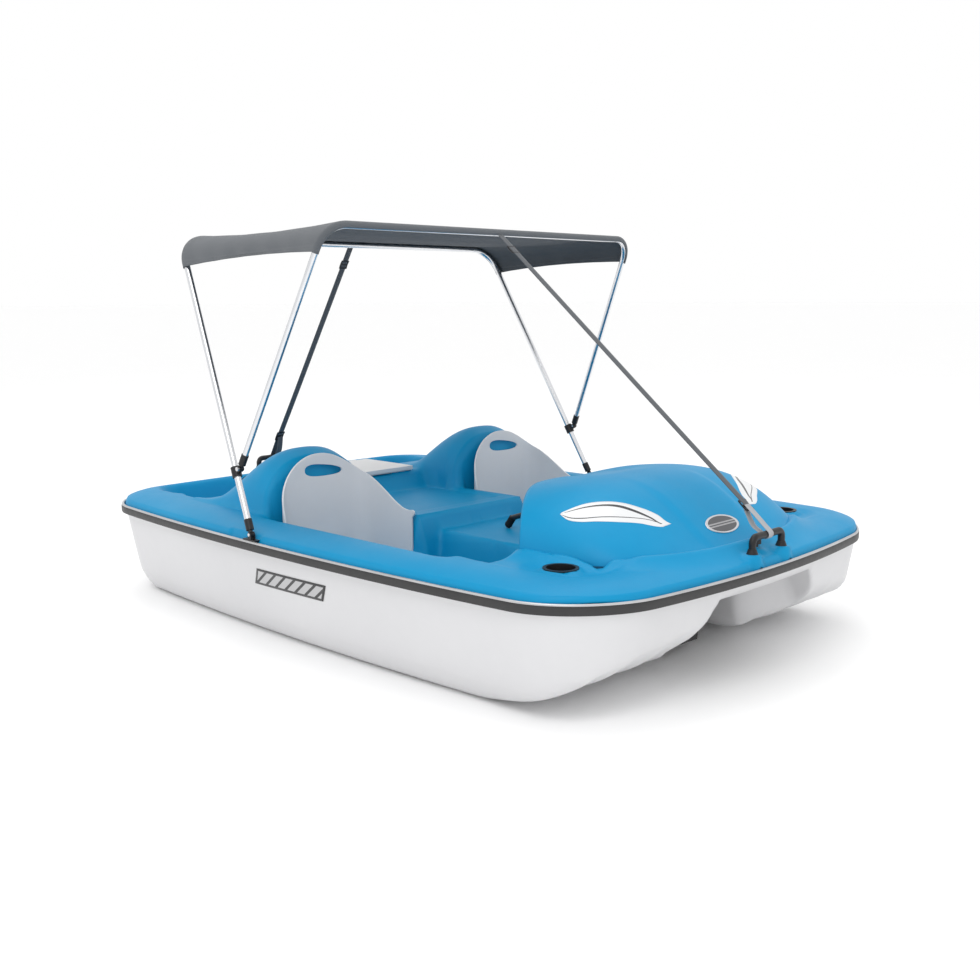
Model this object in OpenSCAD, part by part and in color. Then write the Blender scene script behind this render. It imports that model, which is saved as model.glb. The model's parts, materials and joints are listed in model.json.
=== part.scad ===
// Pedal boat with twin pontoons, a bent-crank paddle wheel, a lever-steered rudder and a folding sun top.
// +X is the bow, +Y is port, +Z is up; the origin is on the ground under the middle of the boat.

/* [Hull] */
// Length over the rub rail
boat_l = 2350; // [2100:10:2820]
// Beam over the rub rail
boat_w = 1626; // [1500:2:1900]
// Height of the hull flange above the keels
flange_z = 300; // [285:1:330]
// Wall of the moulded hull
hull_wall = 4; // [3:0.5:6]
// Plan radius of the bow corners
bow_r = 260; // [220:5:320]
// Plan radius of the stern corners
stern_r = 227; // [190:5:280]
// Inward lean of the hull sides between the flange and the chine
side_lean = 42; // [20:1:70]
// Length of the rise of the bow
bow_rise = 550; // [450:10:650]
// Half width of the tunnel at the keels
tunnel_low = 190; // [170:1:210]
// Half width of the tunnel at its roof
tunnel_high = 140; // [128:1:150]

/* [Deck] */
// Wall of the moulded deck
deck_wall = 4; // [3:0.5:5]
// Height of the gunwale above the flange
gunwale_h = 55; // [45:1:65]
// Height of the seat domes above the flange
dome_h = 247; // [220:1:280]
// Half width of the centre seat, up to the side seats
bench_half = 250; // [240:1:260]
// Distance between the inner wall of the gunwale and the middle line
well_half = 612; // [600:1:625]
// Height of the footwell floor above the keels
floor_z = 90; // [80:1:105]
// Height of the front seat pans above the keels
pan_z = 200; // [190:1:215]
// Height of the stern well floor above the keels
stern_floor_z = 215; // [210:1:225]
// Height of the floor over the tunnel, in front of the centre seat
hump_z = 282; // [280:1:288]
// Height of the front cowl above the flange
cowl_h = 242; // [236:1:270]
// Half width of the front cowl
cowl_half = 490; // [485:1:500]

/* [Rub rail] */
// Height of the rub rail
rail_h = 30; // [24:1:36]
// Width of the rub rail
rail_w = 22; // [18:1:26]
// Height of the bright strip on top of the rail
trim_h = 5; // [3:0.5:8]

/* [Paddle drive] */
// Distance of the paddle shaft ahead of the middle of the boat
wheel_x = 765; // [745:1:775]
// Height of the paddle shaft above the keels
wheel_z = 255; // [250:1:260]
// Radius of the paddle wheel
wheel_r = 245; // [225:1:247]
// Width of the paddle blades
blade_w = 200; // [170:1:214]
// Number of paddle blades
blade_n = 4; // [3:1:6]
// Angle of the first blade from straight down, towards the bow
blade_turn = 25; // [0:1:45]
// Thickness of a paddle blade
blade_t = 8; // [6:1:12]
// Diameter of the crankshaft
crank_d = 16; // [14:1:20]
// Throw of each pedal pin
throw_r = 100; // [90:1:105]
// Width of a pedal
pedal_w = 78; // [60:1:80]
// Length of a pedal
pedal_l = 92; // [80:1:98]
// Thickness of a pedal
pedal_t = 26; // [22:1:32]
// Radial clearance of a running bearing
run_gap = 0.08; // [0.05:0.01:0.1]

/* [Seat backs] */
// Gap between a seat back and the walls it slides along
slide_gap = 3; // [2:0.5:5]
// Wall of a seat back
seat_wall = 5; // [4:0.5:8]
// Height of the seat backs above the flange
back_h = 225; // [200:1:235]
// Length of the side wings of a seat back
wing_l = 270; // [240:1:275]

/* [Steering] */
// Swing radius of the steering handle
lever_l = 225; // [200:1:240]
// Length of the steering and tiller arms
arm_l = 60; // [50:1:70]
// Diameter of the push rod
rod_d = 8; // [6:1:10]
// Height of the rudder blade
rudder_h = 125; // [100:1:130]
// Length of the rudder blade
rudder_l = 100; // [80:1:110]

/* [Sun top] */
// Diameter of the main bow tube
main_d = 20; // [18:1:22]
// Diameter of the front bow tube
front_d = 19; // [16:1:20]
// Wall of the bow tubes
tube_wall = 1.5; // [1:0.1:2]
// Length of the main bow from its foot to its cross tube
main_l = 998; // [900:1:1050]
// Lean of the main bow, aft of upright
main_lean = 27.8; // [20:0.1:32]
// Length of the front bow from its pivot to its cross tube
front_l = 778; // [700:1:800]
// Lean of the front bow, forward of upright
front_lean = 24.8; // [20:0.1:30]
// Distance of the front bow's pivot along the main bow's leg
jaw_at = 200; // [160:1:240]
// Half width of the cross tubes at their corners
corner_y = 706; // [690:1:715]
// Radius of the bends of the bows
bend_r = 100; // [80:1:120]
// Thickness of the canopy
canopy_t = 2.4; // [2:0.1:4]
// Drop of the side flaps of the canopy
flap_h = 85; // [60:1:100]
// Width of the straps
strap_w = 25; // [20:1:30]
// Thickness of the straps
strap_t = 2; // [1.5:0.1:3]

/* [Fittings] */
// Inner radius of a drink holder
cup_r = 38; // [34:0.5:40]
// Depth of a drink holder
cup_depth = 70; // [60:1:80]
// Inner radius of a rod holder
rodhold_r = 20; // [18:0.5:22]
// Depth of a rod holder
rodhold_l = 160; // [140:1:180]
// Span of the carrying handles between their feet
handle_span = 150; // [130:1:180]

/* [Hidden] */
$fn = 48;

deck_blue = [0.05, 0.50, 0.76];
hull_white = [0.90, 0.90, 0.91];
black = [0.08, 0.08, 0.09];
steel = [0.75, 0.76, 0.78];
grey = [0.30, 0.33, 0.37];
eps = 1;

// ---------- plan outline of the hull and the rail ----------
half_l = boat_l / 2;
half_w = boat_w / 2;
function arc(cx, cy, r, a0, a1, n) =
    [for (i = [0 : n]) [cx + r * cos(a0 + (a1 - a0) * i / n), cy + r * sin(a0 + (a1 - a0) * i / n)]];
function side_points(y, x0, x1, n) = [for (i = [1 : n - 1]) [x0 + (x1 - x0) * i / n, y]];
function end_points(x, y0, y1, n) = [for (i = [1 : n - 1]) [x, y0 + (y1 - y0) * i / n]];
// Inset rectangle with round corners, anticlockwise from the starboard bow corner
function plan_raw(k) = concat(
    arc(half_l - bow_r, -(half_w - bow_r), bow_r - k, -90, 0, 7),
    end_points(half_l - k, -(half_w - bow_r), half_w - bow_r, 8),
    arc(half_l - bow_r, half_w - bow_r, bow_r - k, 0, 90, 7),
    side_points(half_w - k, half_l - bow_r, -(half_l - stern_r), 8),
    arc(-(half_l - stern_r), half_w - stern_r, stern_r - k, 90, 180, 7),
    end_points(-(half_l - k), half_w - stern_r, -(half_w - stern_r), 8),
    arc(-(half_l - stern_r), -(half_w - stern_r), stern_r - k, 180, 270, 7),
    side_points(-(half_w - k), -(half_l - stern_r), half_l - bow_r, 8));
// Waist of the sides and the gentle bow and stern sweep
function swept(p) = let (u = p[0] / half_l, v = p[1] / half_w)
    [p[0] - (u > 0 ? 81 : -36) * v * v * pow(u, 4), p[1] * (1 - 0.0854 * u * u)];
function plan(k) = [for (p = plan_raw(k)) swept(p)];
module plan_block(k, z0, z1) translate([0, 0, z0]) linear_extrude(z1 - z0) polygon(plan(k));

// Extrusions of a side view (x, z) across the boat and of an end view (y, z) along it
module side_block(pts, w) translate([0, w / 2, 0]) rotate([90, 0, 0]) linear_extrude(w) polygon(pts);
module end_block(pts, x0, x1) translate([x0, 0, 0]) rotate([90, 0, 90]) linear_extrude(x1 - x0) polygon(pts);
module both_sides() {
    children();
    mirror([0, 1, 0]) children();
}
// Round bar between two points
module bar(a, b, d) {
    v = b - a;
    l = norm(v);
    translate(a) rotate([0, acos(v[2] / l), atan2(v[1], v[0])]) cylinder(h = l, d = d);
}
module box(lo, hi) translate(lo) cube(hi - lo);
// Flat bar with round ends between two points of the XY plane
module slot_plate(a, b, r, t) {
    l = norm(b - a);
    translate(a) rotate([0, 0, atan2(b[1] - a[1], b[0] - a[0])]) linear_extrude(t) union() {
        circle(r);
        translate([l, 0]) circle(r);
        translate([0, -r]) square([l, 2 * r]);
    }
}

// ---------- hull ----------
hull_inset = 22;
chine_r = 45;
chine_z = 92;
keel_in = 400;
keel_out = 545;
aft_roof = 160;
front_roof = 262;
deck_z = flange_z + gunwale_h;
hull_half = half_w - hull_inset;
// End view of the hull's outside, without the tunnel
function hull_half_view(k) = concat(
    [[hull_half - k, flange_z + eps], [hull_half - k, flange_z]],
    [for (a = [0 : -15 : -75])
        [hull_half - side_lean - chine_r + (chine_r - k) * cos(a), chine_z + (chine_r - k) * sin(a)]],
    [[keel_out, k], [keel_in, k], [keel_in - 180, 42 + k]]);
function mirrored(p) = [for (i = [len(p) - 1 : -1 : 0]) [-p[i][0], p[i][1]]];
// Side view with the round bow and the raked transom
function hull_side_view(k) = concat(
    [[-half_l + 34 + k, flange_z + eps], [-half_l + 34 + k, flange_z], [-half_l + 66 + k, 55]],
    [for (a = [195 : 15 : 270]) [-half_l + 111 + (45 - k) * cos(a), 45 + (45 - k) * sin(a)]],
    [for (a = [-90 : 9 : 0])
        [half_l - 575 + (bow_rise - k) * cos(a), flange_z + (flange_z - k) * sin(a)]],
    [[half_l - 575 + bow_rise - k, flange_z + eps]]);
// The outside stops at the flange; the cut for the inside runs on through it
module hull_block(k) intersection() {
    plan_block(hull_inset + k, -eps, flange_z + (k > 0 ? eps : 0));
    side_block(hull_side_view(k), boat_w);
    end_block(concat(hull_half_view(k), mirrored(hull_half_view(k))), -half_l, half_l);
}
// Tunnel between the pontoons, grown outwards by k, with the bulge for the wheel
wheel_gap = 12;
housing_half = blade_w / 2 + 14;
module tunnel(k) {
    intersection() {
        end_block([[-tunnel_low - k, -eps], [tunnel_low + k, -eps],
            [tunnel_high + k, front_roof + k], [-tunnel_high - k, front_roof + k]], -half_l, half_l);
        side_block([[-half_l, -2], [half_l, -2], [half_l, front_roof + k], [470, front_roof + k],
            [150, aft_roof + k], [-half_l, aft_roof + k]], boat_w);
    }
    translate([wheel_x, housing_half + k, wheel_z]) rotate([90, 0, 0])
        cylinder(r = wheel_r + wheel_gap + k, h = 2 * (housing_half + k));
}
bearing_r = 15;
module crank_axis_hole(r) translate([wheel_x, 400, wheel_z]) rotate([90, 0, 0]) cylinder(r = r, h = 800);
rudder_x = -half_l + 113;
drain_r = 12;
drain_at = [-half_l + 70.8, 470, 120];
module hull() color(hull_white) difference() {
    union() {
        hull_block(0);
        intersection() {
            translate([wheel_x, housing_half + hull_wall, wheel_z]) rotate([90, 0, 0])
                cylinder(r = wheel_r + wheel_gap + hull_wall, h = 2 * (housing_half + hull_wall));
            box([0, -half_w, front_roof], [boat_l, half_w, 1000]);
        }
        plan_block(6, flange_z - hull_wall, flange_z);
    }
    difference() {
        hull_block(hull_wall);
        tunnel(hull_wall);
    }
    difference() {
        plan_block(hull_inset + hull_wall, flange_z - hull_wall - eps, flange_z + 2 * eps);
        tunnel(hull_wall);
    }
    tunnel(0);
    crank_axis_hole(bearing_r);
    translate([rudder_x, 0, aft_roof - 10]) cylinder(r = 14, h = 30);
    translate(drain_at) rotate([0, 90, 0]) cylinder(r = drain_r, h = 120, center = true);
}

// ---------- deck ----------
dome_y = 420;
dome_half = 208;
dome_top = flange_z + dome_h;
// Round-topped end view: full height in the middle, steep at the sides
function crown(yc, half, z0, z1, p, q) = concat([[yc - half, z0 - 320]],
    [for (i = [-12 : 12]) let (u = i / 12, y = (u < 0 ? -1 : 1) * (1 - pow(1 - abs(u), 1.6)))
        [yc + half * y, z0 + (z1 - z0) * pow(1 - pow(abs(y), p), 1 / q)]],
    [[yc + half, z0 - 320]]);
dome_side = [[-285, 60], [-288, flange_z + 120], [-300, dome_top - 40], [-325, dome_top - 12],
    [-362, dome_top], [-405, dome_top - 8], [-455, dome_top - 40], [-520, dome_top - 104],
    [-590, dome_top - 162], [-660, flange_z + 40], [-690, flange_z], [-690, 60]];
module dome(k) {
    intersection() {
        translate([-k, 0, 0]) side_block(dome_side, boat_w);
        translate([0, 0, -k]) side_block(dome_side, boat_w);
        end_block(crown(dome_y, dome_half - k, flange_z, dome_top - k, 2.6, 2), -800, 0);
    }
}
// Console between the domes, which holds the cooler
cooler_x0 = -750;
cooler_x1 = -490;
cooler_half = 160;
console_z = flange_z + 92;
tub_floor = 240;
// Ledge in the gunwale under each bow foot, with room for the folded bow
module foot_ledge(k) both_sides()
    box([foot_x - 132 - k, foot_y - 18 - k, rail_top - k], [foot_x + 38 + k, half_w, 1000]);
module upper(k, z0) {
    difference() {
        union() {
            plan_block(14 + k, z0, deck_z - 12 - k);
            plan_block(26 + k, z0, deck_z - k);
        }
        foot_ledge(k);
    }
    box([cooler_x0 - 30 + k, -dome_y + 30, z0], [cooler_x1 + 30 - k, dome_y - 30, console_z - k]);
    both_sides() intersection() {
        dome(k);
        box([-900, 0, z0], [0, 800, 900]);
    }
}
cup_x = half_l - 310;
cup_y = 545;
rod_at = [-505, 545, flange_z + 112];
rod_tilt = 35;
// Wells pressed into the deck, grown by k
foot_x0 = 20;
foot_x1 = wheel_x + throw_r + 70;
foot_mid = 600;
foot_step = 830;
function foot_view(k, outer) = [[168 - k, 1000], [168 - k, hump_z], [192 - k, floor_z + 42],
    [228 - k, floor_z - k], [outer - 22 + k, floor_z - k], [outer + k, pan_z - k], [outer + k, 1000]];
module wells(k) {
    both_sides() {
        end_block(foot_view(k, well_half), foot_x0 - k, foot_mid + k);
        end_block(foot_view(k, cowl_half - 10), foot_mid - eps, foot_step + k);
        end_block(foot_view(k, cowl_half - 65), foot_step - eps, foot_x1 + k);
        box([-283 - k, bench_half - k, pan_z - k], [foot_x0 + eps, well_half + k, 1000]);
        translate([cup_x, cup_y, 100]) cylinder(r = cup_r + 4, h = 400);
    }
    box([-k, -bench_half - k, hump_z - k], [wheel_x - wheel_r - 30 + k, bench_half + k, 1000]);
    // Centre seat pan
    box([cooler_x1 + 30 - k, -bench_half + 24 - k, flange_z + 28 - k], [-60 + k, bench_half - 24 + k, 1000]);
    // Cooler recess
    box([cooler_x0 - k, -cooler_half - k, tub_floor - 5 - k], [cooler_x1 + k, cooler_half + k, 1000]);
    // Stern well and the rear bench ahead of it
    box([-half_l + 120 - k, -580 - k, stern_floor_z - k], [-820 + k, 580 + k, 1000]);
    both_sides() box([-822 - k, 215 - k, flange_z - 15 - k], [-668 + k, 600 + k, 1000]);
    // Room for the wheel housing under the cowl
    box([wheel_x - 300 - k, -housing_half - 12 - k, 230], [wheel_x + 285 + k, housing_half + 12 + k, 1000]);
}
lever_x = 400;
module deck() color(deck_blue) difference() {
    union() {
        difference() {
            upper(0, flange_z);
            difference() {
                upper(deck_wall, flange_z - eps);
                wells(deck_wall);
            }
        }
        difference() {
            plan_block(8, flange_z, flange_z + deck_wall);
            plan_block(60, flange_z - eps, flange_z + deck_wall + eps);
        }
        intersection() {
            wells(deck_wall);
            upper(0, 50);
            plan_block(60, 50, 900);
            difference() {
                box([-half_l, -half_w, 50], [half_l, half_w, 900]);
                box([wheel_x - 305, -housing_half - 20, 0], [wheel_x + 290, housing_half + 20, flange_z]);
            }
        }
    }
    wells(0);
    handle_screw_shape();
    crank_axis_hole(bearing_r + 3);
    translate([lever_x, 0, 200]) cylinder(r = 13, h = 100);
    both_sides() translate(rod_at) rotate([0, -rod_tilt, 0]) translate([0, 0, -200])
        cylinder(r = rodhold_r + 4, h = 300);
}

// ---------- front cowl ----------
cowl_top = flange_z + cowl_h;
cowl_base = deck_z;
cowl_nose = half_l - 95;
cowl_mid = 680;
function cowl_side(k) = [[470 - 2 * eps, cowl_base], [455, cowl_top - 48 - k], [520, cowl_top - 28 - k],
    [600, cowl_top - 9 - k], [690, cowl_top - k], [780, cowl_top - 3 - k], [860, cowl_top - 24 - k],
    [930, cowl_top - 66 - k], [990, cowl_top - 118 - k], [1040, cowl_top - 158 - k],
    [cowl_nose - k, cowl_base - 3 - k], [cowl_nose - k, cowl_base - 60], [400, cowl_base - 60]];
// Full round nose and a rear edge that runs forward towards the sides
function cowl_plan(k) = concat(
    [[430, 0], [445, -120], [520, -290], [620, -(cowl_half - 60 - k)]],
    [for (a = [-90 : 9 : 90]) [
        cowl_mid + (cowl_nose - cowl_mid - k) * sqrt(cos(a)),
        (cowl_half - k) * (a < 0 ? -1 : 1) * sqrt(abs(sin(a)))]],
    [[620, cowl_half - 60 - k], [520, 290], [445, 120]]);
module cowl_block(k) intersection() {
    side_block(cowl_side(k), boat_w);
    end_block(crown(0, cowl_half - k, cowl_base - eps, cowl_top - k, 3.4, 2), 380, half_l);
    translate([0, 0, cowl_base]) linear_extrude(cowl_top) polygon(cowl_plan(k));
}
module front_cowl() color(deck_blue) difference() {
    cowl_block(0);
    translate([0, 0, -eps]) cowl_block(deck_wall);
    translate([-40, 0, -eps]) cowl_block(deck_wall);
}

// ---------- rub rail and trim ----------
rail_z0 = flange_z - 8;
rail_z1 = rail_z0 + rail_h - trim_h;
module rub_rail() color(black) difference() {
    plan_block(0, rail_z0, rail_z1);
    plan_block(rail_w, rail_z0 - eps, flange_z - hull_wall - 1);
    plan_block(4.5, flange_z - hull_wall - 1.001, flange_z + deck_wall + 1);
    plan_block(13, flange_z + deck_wall, rail_z1 + eps);
}
module rail_trim() color(steel) difference() {
    plan_block(1.5, rail_z1, rail_z1 + trim_h);
    plan_block(12.5, rail_z1 - eps, rail_z1 + trim_h + eps);
}
rail_top = rail_z1 + trim_h;

// ---------- carrying handles ----------
handle_d = 20;
handle_x = half_l - 42;
handle_foot = deck_z;
handle_rise = 44;
handle_bend = 18;
screw_d = 6;
// Two screws that come up through the deck into the feet of each handle
module handle_screw_shape() for (x = [handle_x, -handle_x], s = [-1, 1])
    translate([x, s * handle_span / 2, handle_foot - deck_wall]) {
        translate([0, 0, -4]) cylinder(d = 12, h = 4);
        cylinder(d = screw_d, h = deck_wall + 10);
    }
// Arched grip with a flared foot at each end, standing on the gunwale
module handle(x) difference() {
    translate([x, 0, handle_foot]) {
        for (s = [-1, 1]) translate([0, s * handle_span / 2, 0]) {
            cylinder(r1 = 16, r2 = 11, h = 14, $fn = 40);
            cylinder(d = handle_d, h = handle_rise - handle_bend);
        }
        for (s = [-1, 1]) translate([0, s * (handle_span / 2 - handle_bend), handle_rise - handle_bend])
            rotate([0, 0, s > 0 ? 0 : 180]) rotate([90, 0, 90]) rotate_extrude(angle = 90)
                translate([handle_bend, 0]) circle(d = handle_d);
        translate([0, handle_span / 2 - handle_bend, handle_rise]) rotate([90, 0, 0])
            cylinder(d = handle_d, h = handle_span - 2 * handle_bend);
    }
    handle_screw_shape();
}
module bow_handle() color(black) handle(handle_x);
module stern_handle() color(black) handle(-handle_x);
module handle_screws() color(steel) handle_screw_shape();

// ---------- drink holders, rod holders, bow knob ----------
module cup_holder() translate([cup_x, cup_y, deck_z]) difference() {
    union() {
        translate([0, 0, -cup_depth - 3]) cylinder(r = cup_r + 3, h = cup_depth + 3);
        cylinder(r = cup_r + 9, h = 3);
    }
    translate([0, 0, -cup_depth]) cylinder(r = cup_r, h = cup_depth + 10);
}
module cup_holder_port() color(black) cup_holder();
module cup_holder_starboard() color(black) mirror([0, 1, 0]) cup_holder();
module rod_holder() translate(rod_at) rotate([0, -rod_tilt, 0]) difference() {
    union() {
        translate([0, 0, -rodhold_l - 3]) cylinder(r = rodhold_r + 3, h = rodhold_l + 3 + 22);
        translate([0, 0, 22]) linear_extrude(4) union() {
            circle(rodhold_r + 9);
            translate([-16, 0]) circle(rodhold_r + 6);
            translate([16, 0]) circle(rodhold_r + 6);
        }
    }
    translate([0, 0, -rodhold_l]) cylinder(r = rodhold_r, h = rodhold_l + 60);
}
module rod_holder_port() color(black) rod_holder();
module rod_holder_starboard() color(black) mirror([0, 1, 0]) rod_holder();
knob_x = half_l - 77;
module bow_knob() color(black) translate([knob_x, 0, deck_z]) {
    cylinder(d = 14, h = 12);
    translate([0, 0, 12]) cylinder(d = 30, h = 14);
}

// ---------- cooler ----------
tub_wall = 3;
tub_gap = 2;
lid_hinge = [cooler_x0 - 16, console_z + 10];
lid_gap = 1;
module lid_pin(r, y0, l) translate([lid_hinge[0], y0, lid_hinge[1]]) rotate([-90, 0, 0])
    cylinder(r = r, h = l);
module tub_block(k, z0, z1) box([cooler_x0 + k, -cooler_half + k, z0], [cooler_x1 - k, cooler_half - k, z1]);
module cooler_tub() color(hull_white) difference() {
    union() {
        tub_block(tub_gap, tub_floor, console_z);
        tub_block(-6, console_z, console_z + 3);
        // Hinge knuckles at the aft edge
        for (y = [-110, 110]) {
            lid_pin(6, y - 15, 30);
            box([lid_hinge[0] - 5, y - 15, console_z], [cooler_x0 - 2, y + 15, console_z + 5]);
        }
    }
    tub_block(tub_gap + tub_wall, tub_floor + tub_wall, console_z + 20);
    lid_pin(2.5, -300, 600);
}
module cooler_lid() color(hull_white) difference() {
    union() {
        box([cooler_x0 - 1, -cooler_half - 8, console_z + 3 + lid_gap],
            [cooler_x1 + 10, cooler_half + 8, console_z + 17]);
        for (y = [-72, 72]) {
            lid_pin(6, y - 20, 40);
            box([lid_hinge[0], y - 20, lid_hinge[1] - 3], [cooler_x0, y + 20, lid_hinge[1] + 6]);
        }
    }
    lid_pin(2.5 + run_gap, -300, 600);
    box([cooler_x0 + 12, -cooler_half + 8, console_z], [cooler_x1 - 8, cooler_half - 8, console_z + 12]);
}
module cooler_hinge_pins() color(steel) for (y = [-126, 50]) lid_pin(2.5, y, 76);

// ---------- crankshaft, wheel, pedals ----------
pin_in = 255;
pin_out = 355;
web = 49;
end_y = 432;
web_t = 12;
// Round length of the shaft along y, at a height above the axis
module shaft(y0, y1, h) translate([0, y0, h]) rotate([-90, 0, 0]) cylinder(d = crank_d, h = y1 - y0);
// Flat web between two heights
module crank_web(y, h0, h1) translate([0, y + web_t / 2, 0]) rotate([90, 0, 0])
    slot_plate([0, min(h0, h1)], [0, max(h0, h1)], crank_d / 2 + 3, web_t);
// Journal, two opposite throws and the end journal
module crank_side() {
    shaft(-eps, pin_in - web + 4, 0);
    crank_web(pin_in - web, 0, throw_r);
    shaft(pin_in - web - 4, pin_in + web + 4, throw_r);
    crank_web((pin_in + pin_out) / 2, -throw_r, throw_r);
    shaft(pin_out - web - 4, pin_out + web + 4, -throw_r);
    crank_web(pin_out + web, -throw_r, 0);
    shaft(pin_out + web - 4, end_y + 26, 0);
}
crank_turn = 60;
module crankshaft() color(steel) translate([wheel_x, 0, wheel_z]) rotate([0, crank_turn, 0]) {
    crank_side();
    rotate([0, 90, 0]) mirror([0, 1, 0]) crank_side();
}
hub_r = 26;
hub_half = 60;
module blade() {
    // Radial board with cut corners, two ribs and a stiff root
    difference() {
        box([-blade_t / 2, -blade_w / 2, hub_r - 4], [blade_t / 2, blade_w / 2, wheel_r]);
        for (s = [-1, 1]) translate([0, s * blade_w / 2, 0]) {
            translate([0, 0, wheel_r]) rotate([45, 0, 0]) cube([40, 44, 44], center = true);
            translate([0, 0, hub_r - 4]) rotate([35, 0, 0]) cube([40, 70, 70], center = true);
        }
    }
    for (y = [-58, 0, 58]) box([-blade_t / 2 - 6, y - 4, hub_r - 4], [blade_t / 2 + 6, y + 4, wheel_r - 34]);
}
module paddle_wheel() color(black) translate([wheel_x, 0, wheel_z]) difference() {
    union() {
        rotate([90, 0, 0]) cylinder(r = hub_r, h = 2 * hub_half, center = true);
        for (i = [0 : blade_n - 1]) rotate([0, 180 - blade_turn + i * 360 / blade_n, 0]) blade();
    }
    rotate([90, 0, 0]) cylinder(d = crank_d, h = 2 * blade_w, center = true);
    wheel_bolt_shape(0);
}
module wheel_bolt_shape(head) for (s = [-1, 1]) translate([0, s * 34, 0]) rotate([0, crank_turn + 45, 0]) {
    cylinder(d = 8, h = 2 * hub_r + 10, center = true);
    if (head > 0) translate([0, 0, hub_r]) cylinder(d = 15, h = 6, $fn = 6);
}
module wheel_bolts() color(steel) translate([wheel_x, 0, wheel_z]) difference() {
    wheel_bolt_shape(1);
    rotate([90, 0, 0]) cylinder(d = crank_d, h = 2 * blade_w, center = true);
}
module pedal() {
    difference() {
        union() {
            translate([-pedal_l / 2, -pedal_w / 2, -pedal_t / 2]) cube([pedal_l, pedal_w, pedal_t]);
            for (x = [-36 : 12 : 36], s = [-1, 1])
                translate([x - 2, -pedal_w / 2, s * (pedal_t / 2 + 1) - 1.5]) cube([4, pedal_w, 3]);
        }
        rotate([90, 0, 0]) cylinder(d = crank_d + 2 * run_gap, h = 2 * pedal_w, center = true);
    }
}
// Place of a pedal: port throws follow the crank's turn, starboard ones stand a quarter turn ahead
function pin_place(y, turn, side) =
    [wheel_x + side * throw_r * sin(turn), y, wheel_z + side * throw_r * cos(turn)];
module pedal_port_inner() color(black) translate(pin_place(pin_in, crank_turn, 1)) pedal();
module pedal_port_outer() color(black) translate(pin_place(pin_out, crank_turn, -1)) pedal();
module pedal_starboard_inner() color(black) translate(pin_place(-pin_in, crank_turn + 90, 1)) pedal();
module pedal_starboard_outer() color(black) translate(pin_place(-pin_out, crank_turn + 90, -1)) pedal();
bushing_end = 188;
// Plain bearing pressed through both walls beside the wheel
module crank_bushing() translate([wheel_x, 0, wheel_z]) rotate([-90, 0, 0]) difference() {
    union() {
        translate([0, 0, housing_half - 6])
            cylinder(r = bearing_r - 0.2, h = bushing_end - housing_half + 6);
        translate([0, 0, bushing_end - 4]) cylinder(r = 22, h = 4);
    }
    translate([0, 0, 60]) cylinder(d = crank_d + 2 * run_gap, h = 200);
}
module crank_bushings() color(black) both_sides() crank_bushing();
bracket_y = end_y + 4;
module crank_brackets() color(black) both_sides() difference() {
    union() {
        translate([wheel_x, bracket_y, wheel_z]) rotate([-90, 0, 0]) cylinder(r = 22, h = 16);
        box([wheel_x - 22, bracket_y, floor_z + 4], [wheel_x + 22, bracket_y + 16, wheel_z]);
        box([wheel_x - 40, bracket_y - 12, floor_z], [wheel_x + 40, bracket_y + 18, floor_z + 5]);
    }
    translate([wheel_x, bracket_y - 20, wheel_z]) rotate([-90, 0, 0])
        cylinder(d = crank_d + 2 * run_gap, h = 60);
}

// ---------- steering ----------
lever_z = hump_z + 28;
arm_z = hump_z - 20;
tiller_z = aft_roof + 20;
shaft_d = 14;
module steering_bushing() color(black) translate([lever_x, 0, 0]) difference() {
    union() {
        translate([0, 0, hump_z - 8]) cylinder(r = 12.8, h = 8);
        translate([0, 0, hump_z]) cylinder(r = 22, h = 4);
    }
    cylinder(d = shaft_d + 2 * run_gap, h = 400);
}
grip_at = [lever_x - lever_l + 12, 0, lever_z + 8];
module lever_end() bar([lever_x - 160, 0, lever_z + 26], grip_at, 18);
module steering_lever() color(black) {
    translate([lever_x, 0, arm_z - 4]) cylinder(d = shaft_d, h = lever_z + 12 - arm_z + 4);
    translate([lever_x, 0, hump_z + 6]) cylinder(r = 19, h = lever_z + 12 - hump_z - 6);
    // Arched tube that runs aft from the hub
    bar([lever_x, 0, lever_z], [lever_x - 90, 0, lever_z + 24], 18);
    translate([lever_x - 90, 0, lever_z + 24]) sphere(d = 20);
    bar([lever_x - 90, 0, lever_z + 24], [lever_x - 160, 0, lever_z + 26], 18);
    translate([lever_x - 160, 0, lever_z + 26]) sphere(d = 20);
    lever_end();
    // Steering arm under the deck, with the pin of the push rod
    translate([lever_x, 0, arm_z - 4]) slot_plate([0, 0], [0, arm_l], 11, 4);
    translate([lever_x, arm_l, arm_z - 4]) cylinder(d = 6, h = 14);
}
// Rubber grip pushed on the bent-down end of the lever
module steering_grip() color(black) difference() {
    union() {
        bar(grip_at + [6, 0, 2], grip_at - [12, 0, 22], 24);
        translate(grip_at - [12, 0, 22]) sphere(d = 26);
    }
    lever_end();
}
rod_slot = 12;
module rod_eye(x, z) translate([x, arm_l, z]) difference() {
    slot_plate([0, -rod_slot], [0, 4], 11, 4);
    translate([0, 0, -1]) slot_plate([0, -rod_slot], [0, 4], 5, 6);
}
module push_rod() color(steel) {
    rod_eye(lever_x, arm_z + 2);
    rod_eye(rudder_x, tiller_z + 2);
    bar([lever_x - 9, arm_l, arm_z + 5], [rudder_x + 9, arm_l, tiller_z + 5], rod_d);
}
module rudder_bushing() color(black) translate([rudder_x, 0, 0]) difference() {
    union() {
        translate([0, 0, aft_roof - 6]) cylinder(r = 13.8, h = 14);
        translate([0, 0, aft_roof + hull_wall]) cylinder(r = 20, h = 4);
    }
    cylinder(d = shaft_d + 2 * run_gap, h = 400);
}
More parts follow.
